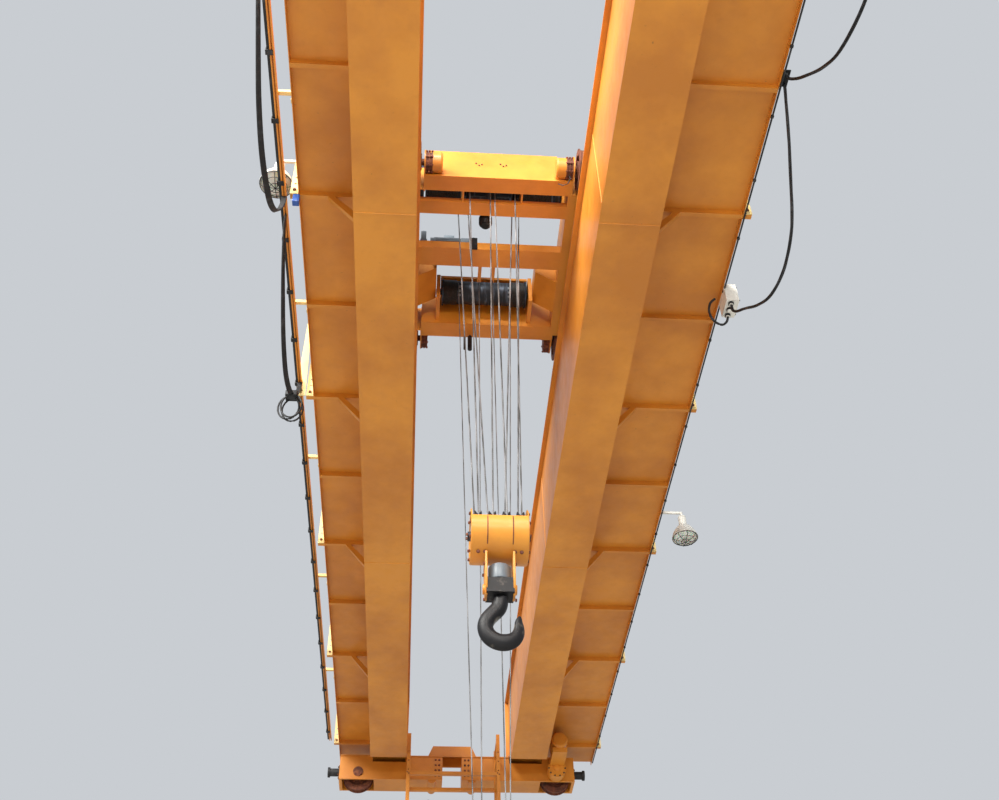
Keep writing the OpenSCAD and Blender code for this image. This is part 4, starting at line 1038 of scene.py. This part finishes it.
def gear_cases():
    """Lids, shaft caps and motors of the two hoists' gearboxes, the main brake, and their bolts' spots."""
    main_top, aux_top = MAIN_GEAR_TOP + 0.014, AUX_GEAR_TOP + 0.010
    gear = [
        bevelled_box((-1.435, -0.020, main_top - 0.028), (-1.065, 1.44, main_top), 0.004),
        bevelled_box((0.975, 1.470, aux_top - 0.024), (1.265, 2.080, aux_top), 0.004),
    ]
    up = (0, 0, 1)
    spots = [((x, 0.04 + k * 0.135, main_top), up) for k in range(11) for x in (-1.4275, -1.0725)]
    spots += [((x, 1.52 + k * 0.125, aux_top), up) for k in range(5) for x in (0.983, 1.257)]

    # Caps at the ends of the gearboxes' shafts: point, direction and radius
    cap = [(0.0, 0.0), (1.0, 0.0), (1.0, 0.018), (0.85, 0.028), (0.0, 0.028)]
    main_side, aux_side = -1.42, 1.25
    caps = (
        ((main_side, MAIN_DRUM[1], MAIN_DRUM[2]), (-1, 0, 0), 0.17),
        ((main_side, MAIN_MOTOR[1], MAIN_MOTOR[2]), (-1, 0, 0), 0.11),
        ((main_side, 0.82, 2.92), (-1, 0, 0), 0.13),
        ((aux_side, AUX_DRUM[1], 2.72), (1, 0, 0), 0.13),
        ((aux_side, 1.94, AUX_MOTOR[2]), (1, 0, 0), 0.09),
    )
    for middle, out, radius in caps:
        gear.append(turned([(r * radius, z) for r, z in cap], facing(middle, out)))
        spots += bolt_circle(Vector(middle) + Vector(out) * 0.026, out, radius * 0.72, 6)
    gear += finned_motor(MAIN_MOTOR, (1, 0, 0), 0.145, 0.50)
    gear += finned_motor(AUX_MOTOR, (-1, 0, 0), 0.115, 0.42)

    # The main brake's two shoes and the bar across them
    for y in (MAIN_MOTOR[1] - 0.16, MAIN_MOTOR[1] + 0.16):
        gear.append(bevelled_box((-0.925, y - 0.02, 2.74), (-0.855, y + 0.02, 3.04), 0.006))
    gear.append(bevelled_box((-0.91, 1.12, 3.03), (-0.87, 1.46, 3.06), 0.006))
    return gear, spots


class CRANE_OT_detail_crab(bpy.types.Operator):
    """Bolts, caps, fins and brakes of the crab's machinery, and the small fittings under it"""

    bl_idname = "crane.detail_crab"
    bl_label = "Detail the crab"

    def execute(self, context):
        size = context.scene.crane_detail.bolt
        # Two groups of three screws, low on the plate at the near end
        spots = [((x + dx, NEAR_PLATE_Y, z + dz), (0, -1, 0)) for x, z in ((-0.236, 2.468), (0.060, 2.470))
                 for dx, dz in ((-0.035, 0.02), (0.0, -0.02), (0.035, 0.0))]
        dress(bolts(0.010, spots), "near_plate_screws", "casting", "crab")

        spots = []
        for side in (-1, 1):
            for end in (-1, 1):
                axle = Vector((0, CRAB_Y + end * CRAB_AXLE_REACH, CRAB_WHEEL_Z))
                for c, s in around(8, 0.5):
                    out = Vector((0, c, s))
                    for x in (0.803, 0.836, 0.869):
                        spots.append((axle + Vector((side * x, 0, 0)) + out * 0.127, out))
                spots += bolt_circle(axle + Vector((side * 1.1933, 0, 0)), (side, 0, 0), 0.085, 6)
        dress(bolts(size * 0.7, spots), "housing_bolts", "casting", "crab")

        side_wire = wire([(0.83, -0.50, 2.14), (0.84, -0.50, 2.06), (0.80, -0.49, 1.97), (0.75, -0.46, 1.98),
                          (0.72, -0.41, 2.07), (0.71, -0.38, 2.122)], 0.012)
        switch_wire = wire([(HOIST_X - 0.195, 0.515, 2.13), (HOIST_X - 0.20, 0.505, 2.06),
                            (HOIST_X - 0.196, 0.51, 1.95)], 0.010)
        wires = joined([side_wire, switch_wire])
        dress(wires, "crab_wires", "rubber", "crab", smooth=60)

        gear, spots = gear_cases()
        dress(joined(gear), "gear_and_motor_details", "machine", "crab")
        # Bolts of the main drum's pedestals: four at the foot and two in the bearing's cap
        for x in (HOIST_X - 0.96, HOIST_X + 0.96):
            for y, z in ((-0.16, 2.552), (0.16, 2.552), (-0.07, 3.11), (0.07, 3.11)):
                spots.append(((x, MAIN_DRUM[1] + y, z), (0, 0, 1)))
        dress(bolts(size * 0.75, spots), "machinery_bolts", "steel", "crab")

        middle = Vector(MAIN_DRUM)
        ring = [(0.052, 0.0), (0.10, 0.0), (0.10, 0.014), (0.052, 0.018)]
        # The caps' rings stand on both faces of each pedestal
        rings = [turned(ring, facing(middle + Vector((side * reach, 0, 0)), (side * way, 0, 0)))
                 for reach, way in ((0.92, -1), (1.0, 1)) for side in (-1, 1)]
        dress(joined(rings), "drum_bearing_caps", "casting", "crab")
        shield = [(0.058, 0.0), (0.235, 0.0), (0.240, 0.006), (0.240, 0.072), (0.228, 0.072), (0.228, 0.012),
                  (0.058, 0.012)]
        shields = [turned(shield, facing(middle + Vector((side * 0.915, 0, 0)), (-side, 0, 0)))
                   for side in (-1, 1)]
        dress(joined(shields), "drum_shields", "steel", "crab")
        return {"FINISHED"}


class CRANE_OT_weld_girders(bpy.types.Operator):
    """Weld seams of the girders' plates, and the clips of the crab rails"""

    bl_idname = "crane.weld_girders"
    bl_label = "Weld the girders"

    def execute(self, context):
        detail = context.scene.crane_detail
        low_z, high_z = GIRDER_LOW + 0.02, GIRDER_TOP - 0.02
        seams = []
        for side in (-1, 1):
            webs = (side * (WEB_INNER_X - 0.006), side * (WEB_OUTER_X + 0.006))
            edges = (side * (GIRDER_X - FLANGE_HALF_W), side * (GIRDER_X + FLANGE_HALF_W))
            # Seams across the girder, where its plates meet end to end
            for y in (-7.24, -1.24, 4.76):
                seams += [((edges[0], y, z), (edges[1], y, z)) for z in (GIRDER_LOW, GIRDER_TOP)]
                seams += [((x, y, low_z), (x, y, high_z)) for x in webs]
            # Seams along the girder, where the webs stand on the flanges
            seams += [((x, -GIRDER_FLAT_Y, z), (x, GIRDER_FLAT_Y, z)) for x in webs for z in (low_z, high_z)]
        beads = [weld_bead(start, end, detail.bead) for start, end in seams]
        dress(joined(beads), "girder_welds", "enamel", "bridge", smooth=60)

        clip = joined([bevelled_box((-0.032, -0.028, 0.0), (0.032, 0.028, 0.032), 0.004),
                       bolts(detail.bolt * 0.8, [((0.006, 0, 0.032), (0, 0, 1))])])
        places = []
        for side, turn in ((-1, math.pi), (1, 0)):
            for k in range(28):
                place = Matrix.Translation((side * (RAIL_X + 0.094), -9.99 + k * 0.74, GIRDER_TOP))
                places.append(place @ Matrix.Rotation(turn, 4, "Z"))
        dress(copies(clip, places), "rail_clips", "steel", "bridge")
        return {"FINISHED"}


class CRANE_OT_bolt_trucks(bpy.types.Operator):
    """Bolts of the end trucks, and of the keepers of their wheels"""

    bl_idname = "crane.bolt_trucks"
    bl_label = "Bolt the end trucks"

    def execute(self, context):
        size = context.scene.crane_detail.bolt
        spots = []
        keepers = []
        for end in (-1, 1):
            for face in (-1, 1):
                y = end * TRUCK_Y + face * TRUCK_HALF_W
                spots += [((x, y, z), (0, face, 0)) for x in (-0.40, -0.335, 0.135, 0.20)
                          for z in (0.19, 0.29, 0.39, 0.49)]
                # The travel drive covers the right wheel's keeper on the inner face
                sides = (-1,) if face == -end else (-1, 1)
                for side in sides:
                    keepers += bolt_circle((side * RUNWAY_WHEEL_X, y + face * 0.0143, RUNWAY_WHEEL_Z),
                                           (0, face, 0), 0.068, 4, 0.5)
            for side in (-1, 1):
                spots += bolt_circle((side * (TRUCK_END_X + 0.0003), end * TRUCK_Y, BUFFER_Z), (side, 0, 0),
                                     0.10, 4, 0.5)
        dress(bolts(size * 0.8, spots), "truck_bolts", "casting", "bridge")
        dress(bolts(size * 0.7, keepers), "wheel_keeper_bolts", "casting", "bridge")
        return {"FINISHED"}


class CRANE_OT_detail_drives(bpy.types.Operator):
    """Fins, caps and bolts of the two travel drives"""

    bl_idname = "crane.detail_drives"
    bl_label = "Detail the travel drives"

    def execute(self, context):
        size = context.scene.crane_detail.bolt
        cap = [(0.0, 0.0), (0.06, 0.0), (0.06, 0.02), (0.0, 0.03)]
        parts = []
        spots = []
        for end in (-1, 1):
            inward = Vector((0, -end, 0))
            # The gearbox starts a little inside the truck's inner face
            start = Vector((RUNWAY_WHEEL_X, end * (TRUCK_Y - TRUCK_HALF_W), 0)) + inward * 0.0403
            face = start + inward * 0.20 + Vector((0, 0, RUNWAY_WHEEL_Z))
            parts += finned_motor(start + inward * 0.56 + Vector((0, 0, 0.51)), inward, 0.135, 0.38)
            parts.append(turned(cap, facing(face, inward)))
            spots += bolt_circle(face, inward, 0.148, 10)
        dress(joined(parts), "travel_motor_details", "enamel", "bridge")
        dress(bolts(size * 0.6, spots), "travel_gearbox_bolts", "steel", "bridge")
        return {"FINISHED"}


class CRANE_OT_bolt_cage(bpy.types.Operator):
    """Bolts of the service cage's posts, and the clips on its middle rail"""

    bl_idname = "crane.bolt_cage"
    bl_label = "Bolt the service cage"

    def execute(self, context):
        size = context.scene.crane_detail.bolt
        spots = [((x + lean * 0.015, CAGE_NEAR_Y, z - lean * 0.012), (0, -1, 0)) for x in (-0.89, 0.69)
                 for z in (-1.77, -1.22, -0.67, -0.12) for lean in (-1, 1)]
        near, far = CAGE_NEAR_Y - 0.02, CAGE_NEAR_Y + 0.005
        clips = [bevelled_box((x - 0.02, near, -0.715), (x + 0.02, far, -0.62), 0.004)
                 for x in (-0.524, -0.057, 0.347)]
        dress(bolts(size * 0.5, spots), "cage_bolts", "casting", "bridge")
        dress(joined(clips), "cage_clips", "rubber", "bridge")
        return {"FINISHED"}


class CRANE_OT_fit_walkways(bpy.types.Operator):
    """Bolts of the walkways' posts, and the conduit along the right edge"""

    bl_idname = "crane.fit_walkways"
    bl_label = "Fit the walkways"

    def execute(self, context):
        size = context.scene.crane_detail.bolt
        spots = [((edge, row - 0.0423, 0.78), (0, -1, 0))
                 for edge in (LEFT_EDGE_X - 0.045, RIGHT_EDGE_X + 0.045) for row in brace_rows()]
        dress(bolts(size * 0.8, spots), "post_bolts", "casting", "bridge")

        # The conduit is broken where the junction box stands
        x, z = RIGHT_EDGE_X + 0.010, 0.707
        runs = [wire([(x, start, z), (x, end, z)], 0.020) for start, end in ((-11.7, -0.045), (0.205, 11.7))]
        for k in range(30):
            y = -11.4 + k * 0.76
            runs.append(bevelled_box((x - 0.016, y - 0.015, 0.694), (x + 0.014, y + 0.015, 0.722), 0.003))
        dress(joined(runs), "edge_conduit", "rubber", "bridge", smooth=60)
        return {"FINISHED"}


class CRANE_OT_fit_junction_box(bpy.types.Operator):
    """Lid, hinges, screws, glands and tail of the junction box"""

    bl_idname = "crane.fit_junction_box"
    bl_label = "Fit the junction box"

    def execute(self, context):
        skin = BOX_SKIN_X
        near, far = BOX_MIDDLE_Y - 0.12, BOX_MIDDLE_Y + 0.12
        lid = [bevelled_box((skin, near, 0.512), (skin + 0.013, far, 0.768), 0.004)]
        lid += [bevelled_box((skin - 0.005, y, 0.772), (skin + 0.017, y + 0.05, 0.784), 0.003)
                for y in (-0.02, 0.13)]
        dress(joined(lid), "junction_box_lid", "white", "bridge")
        screws = [((skin + 0.013, y, z), (1, 0, 0)) for y in (-0.025, 0.185) for z in (0.53, 0.75)]
        dress(bolts(0.009, screws), "junction_box_screws", "steel", "bridge")

        cable_x = RIGHT_EDGE_X + 0.0553
        glands = []
        for y in (BOX_MIDDLE_Y - 0.09, BOX_MIDDLE_Y, BOX_MIDDLE_Y + 0.09):
            deselect()
            bpy.ops.mesh.primitive_cylinder_add(vertices=6, radius=0.034, depth=0.032,
                                                location=(cable_x, y, 0.484))
            glands.append(apply_modifier(settle(context.object), "BEVEL", width=0.002, segments=1))
        tail = smooth_line([(cable_x, 0.17, 0.465), (2.60, 0.19, 0.40), (2.54, 0.20, 0.36),
                            (2.46, 0.20, 0.42), (2.42, 0.18, 0.54), (2.44, 0.15, 0.66),
                            (2.50, 0.12, 0.715)], 5)
        glands.append(swept("tail", tail, round_profile(0.028, 10)))
        dress(joined(glands), "junction_box_glands", "rubber", "bridge", smooth=40)
        return {"FINISHED"}


class CRANE_OT_fit_cable_track(bpy.types.Operator):
    """Arms, channel, strip and clips of the cable track, and the spare loop of cable on it"""

    bl_idname = "crane.fit_cable_track"
    bl_label = "Fit the cable track"

    def execute(self, context):
        x, z = TRACK_X, TRACK_Z
        arms = copy_of_node("festoon_track", 0.002)
        channel = parted(arms, lambda centre, normal: centre.x < x + 0.024 and abs(centre.z - z) < 0.024)
        dress(arms, "track_arms", "pale", "bridge", ["festoon_track"])
        dress(channel, "track_channel", "enamel", "bridge", ["festoon_track"])
        strip = bevelled_box((x - 0.052, -11.2, z - 0.012), (x - 0.0225, 11.2, z + 0.012), 0.003)
        dress(strip, "track_strip", "rubber", "bridge")
        clips = []
        for k in range(-11, 19):
            near, far = -2.648 + k * 0.75, -2.592 + k * 0.75
            clips.append(bevelled_box((x - 0.060, near, z - 0.034), (x + 0.010, far, z - 0.022), 0.003))
            clips.append(bevelled_box((x - 0.064, near, z - 0.034), (x - 0.052, far, z + 0.026), 0.003))
        dress(joined(clips), "track_clips", "rubber", "bridge")

        # Three turns of spare cable, tied up under the track, and the end that leads up to it
        spare = [bevelled_box((x - 0.07, 1.34, 0.13), (x + 0.07, 1.46, 0.21), 0.01)]
        for y, lean in ((1.36, 0.02), (1.395, -0.015), (1.43, 0.03)):
            turn = [(x + lean + s * 0.12, y + c * 0.01, -0.03 + c * 0.19) for c, s in around(20)]
            spare.append(wire(turn, 0.022, closed=True))
        spare.append(wire([(x + 0.04, 1.44, 0.20), (x + 0.05, 1.56, 0.36), (x + 0.03, 1.75, 0.58),
                           (x + 0.03, 1.92, 0.78), (x + 0.01, 1.95, 0.838)], 0.018))
        dress(joined(spare), "spare_cable_loop", "rubber", "bridge", smooth=60)
        return {"FINISHED"}


class CRANE_OT_fit_lamps(bpy.types.Operator):
    """Wire guards, opal glasses and shells of the two lamps, and the left one's bracket"""

    bl_idname = "crane.fit_lamps"
    bl_label = "Fit the lamps"

    def execute(self, context):
        # The guard's rings and the rib's points, as radius and height from the shell's rim
        rings = ((0.174, -0.004, 0.009), (0.125, -0.045, 0.007), (0.06, -0.065, 0.007))
        rib = ((0.174, 0.02), (0.174, -0.008), (0.150, -0.032), (0.11, -0.05), (0.05, -0.066), (0.0, -0.07))
        dome = [(0.0, -0.040), (0.06, -0.037), (0.11, -0.026), (0.145, -0.008), (0.160, 0.012),
                (0.150, 0.014), (0.105, -0.006), (0.0, -0.020)]
        for name, x, y, rim in (("lamp_left", -2.45, -0.99, 0.99), ("lamp_right", 2.865, 4.14, 0.33)):
            guard = [ring_wire((x, y, rim + z), radius, diameter) for radius, z, diameter in rings]
            guard += [wire([(x + c * r, y + s * r, rim + z) for r, z in rib], 0.008, sides=6)
                      for c, s in around(8)]
            dress(joined(guard), name + "_guard", "rubber", "bridge", smooth=60)
            glass = turned(dome, Matrix.Translation((x, y, rim + 0.012)), 48)
            dress(glass, name + "_glass", "glass", "bridge", smooth=60)
            shell = copy_of_node(name, 0.002)
            dress(shell, name + "_shell", "white", "bridge", [name], smooth=40)
        bracket = bevelled_box((-2.235, -1.075, 0.600), (-2.165, -1.005, 0.722), 0.005)
        dress(bracket, "lamp_bracket", "blue", "bridge")
        return {"FINISHED"}


def add_light(name, kind, power, colour, place, ahead):
    """A light of some kind and power at a place, which shines ahead."""
    light = bpy.data.lights.new(name, kind)
    light.energy = power
    light.color = colour
    lamp = bpy.data.objects.new(name, light)
    lamp.location = place
    lamp.rotation_euler = Vector(ahead).to_track_quat("-Z", "Y").to_euler()
    bpy.context.scene.collection.objects.link(lamp)
    return light


class CRANE_OT_set_stage(bpy.types.Operator):
    """Set the floor, the lights, the world and the camera"""

    bl_idname = "crane.set_stage"
    bl_label = "Set the stage"

    def execute(self, context):
        self.lay_floor()
        self.hang_lights()
        self.fill_world(context.scene)
        self.place_camera(context.scene)
        context.scene.view_settings.view_transform = "Standard"
        return {"FINISHED"}

    def lay_floor(self):
        """A pale concrete floor, wide enough to reach the horizon."""
        deselect()
        bpy.ops.mesh.primitive_plane_add(size=600, location=(0, 0, FLOOR_Z))
        floor = settle(bpy.context.object)
        floor.name = "studio_floor"
        material, tree, shader, coords = new_material("pale_floor")
        # Floated concrete in patches of about three metres
        shade = patches(tree, coords, 3333, 4.0, 0.3, 0.7)
        feed(tree, shader, {"Base Color": layered(tree, "#CFCDC8", (shade, "#C6C4BF")), "Roughness": 0.8})
        floor.data.materials.append(material)

    def hang_lights(self):
        """Light from the roof, and windows at the near end, between the girders and high on the left."""
        roof = add_light("roof_light", "SUN", 2.2, (1.0, 0.97, 0.92), (0, 0, 0), (0.55, 0.62, -0.55))
        roof.angle = math.radians(25)
        # Each window's name, place, the point that it faces, width, height and power in watts
        windows = (
            ("end_window", (-2.2, -15.0, 6.3), (0.0, -0.3, 2.3), 6.0, 3.0, 3700),
            ("low_window", (0.0, -11.5, -0.9), (0.0, 1.5, 2.3), 2.4, 1.0, 430),
            ("side_window", (-10.0, -7.5, 7.6), (1.0, -2.2, 1.0), 6.0, 4.0, 2700),
        )
        for name, place, aim, width, height, power in windows:
            window = add_light(name, "AREA", power, (1.0, 0.98, 0.92), place, Vector(aim) - Vector(place))
            window.shape = "RECTANGLE"
            window.size = width
            window.size_y = height

    def fill_world(self, scene):
        """A grey backdrop that the camera and mirrored rays see, and a dimmer light from all sides."""
        world = bpy.data.worlds.new("studio")
        world.use_nodes = True
        tree = world.node_tree
        tree.nodes.clear()
        light = add_node(tree, "Background", {"Color": (0.93, 0.96, 1.0, 1.0), "Strength": 0.45})
        shown = add_node(tree, "Background", {"Color": "#C9CDD2", "Strength": 1.0})
        path = add_node(tree, "LightPath").outputs
        direct = path["Is Camera Ray"]
        for ray in ("Is Glossy Ray", "Is Transmission Ray"):
            direct = add_node(tree, "Math", {0: direct, 1: path[ray]}, operation="MAXIMUM")
        seen = add_node(tree, "MixShader", {0: direct, 1: light, 2: shown})
        add_node(tree, "OutputWorld", {"Surface": seen})
        scene.world = world

    def place_camera(self, scene):
        """The camera on the floor, from the view's place, pitch, yaw and roll."""
        view = scene.crane_view
        ahead = Vector((math.sin(view.yaw) * math.cos(view.pitch), math.cos(view.yaw) * math.cos(view.pitch),
                        math.sin(view.pitch)))
        right = ahead.cross(Vector((0, 0, 1))).normalized()
        down = ahead.cross(right)
        level = math.cos(view.roll) * right + math.sin(view.roll) * down
        below = math.cos(view.roll) * down - math.sin(view.roll) * right
        data = bpy.data.cameras.new("floor_view")
        data.sensor_width = 36
        data.lens = view.lens
        data.clip_end = 400
        camera = bpy.data.objects.new("floor_view", data)
        turn = Matrix((level, -below, -ahead)).transposed().to_4x4()
        camera.matrix_world = Matrix.Translation(Vector(view.place)) @ turn
        scene.collection.objects.link(camera)
        scene.camera = camera


STEPS = (
    CRANE_OT_paint_frame,
    CRANE_OT_hang_cables,
    CRANE_OT_reeve_ropes,
    CRANE_OT_finish_hooks,
    CRANE_OT_finish_blocks,
    CRANE_OT_wind_drums,
    CRANE_OT_detail_crab,
    CRANE_OT_weld_girders,
    CRANE_OT_bolt_trucks,
    CRANE_OT_detail_drives,
    CRANE_OT_bolt_cage,
    CRANE_OT_fit_walkways,
    CRANE_OT_fit_junction_box,
    CRANE_OT_fit_cable_track,
    CRANE_OT_fit_lamps,
    CRANE_OT_set_stage,
)


class CRANE_PT_panel(bpy.types.Panel):
    """Panel that lists the crane's steps and sizes"""

    bl_idname = "CRANE_PT_panel"
    bl_label = "Bridge crane"
    bl_space_type = "VIEW_3D"
    bl_region_type = "UI"
    bl_category = "Crane"

    def draw(self, context):
        for step in STEPS:
            self.layout.operator(step.bl_idname)
        for group in (context.scene.crane_finish, context.scene.crane_detail, context.scene.crane_view):
            box = self.layout.box()
            for name in group.__annotations__:
                box.prop(group, name)


CLASSES = (CraneFinish, CraneDetail, CraneView) + STEPS + (CRANE_PT_panel,)


def register():
    for each in CLASSES:
        bpy.utils.register_class(each)
    bpy.types.Scene.crane_finish = bpy.props.PointerProperty(type=CraneFinish)
    bpy.types.Scene.crane_detail = bpy.props.PointerProperty(type=CraneDetail)
    bpy.types.Scene.crane_view = bpy.props.PointerProperty(type=CraneView)


def unregister():
    del bpy.types.Scene.crane_view
    del bpy.types.Scene.crane_detail
    del bpy.types.Scene.crane_finish
    for each in reversed(CLASSES):
        bpy.utils.unregister_class(each)


def main():
    """Registers the add-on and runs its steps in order."""
    register()
    for step in STEPS:
        group, name = step.bl_idname.split(".")
        getattr(getattr(bpy.ops, group), name)()


if __name__ == "__main__":
    main()
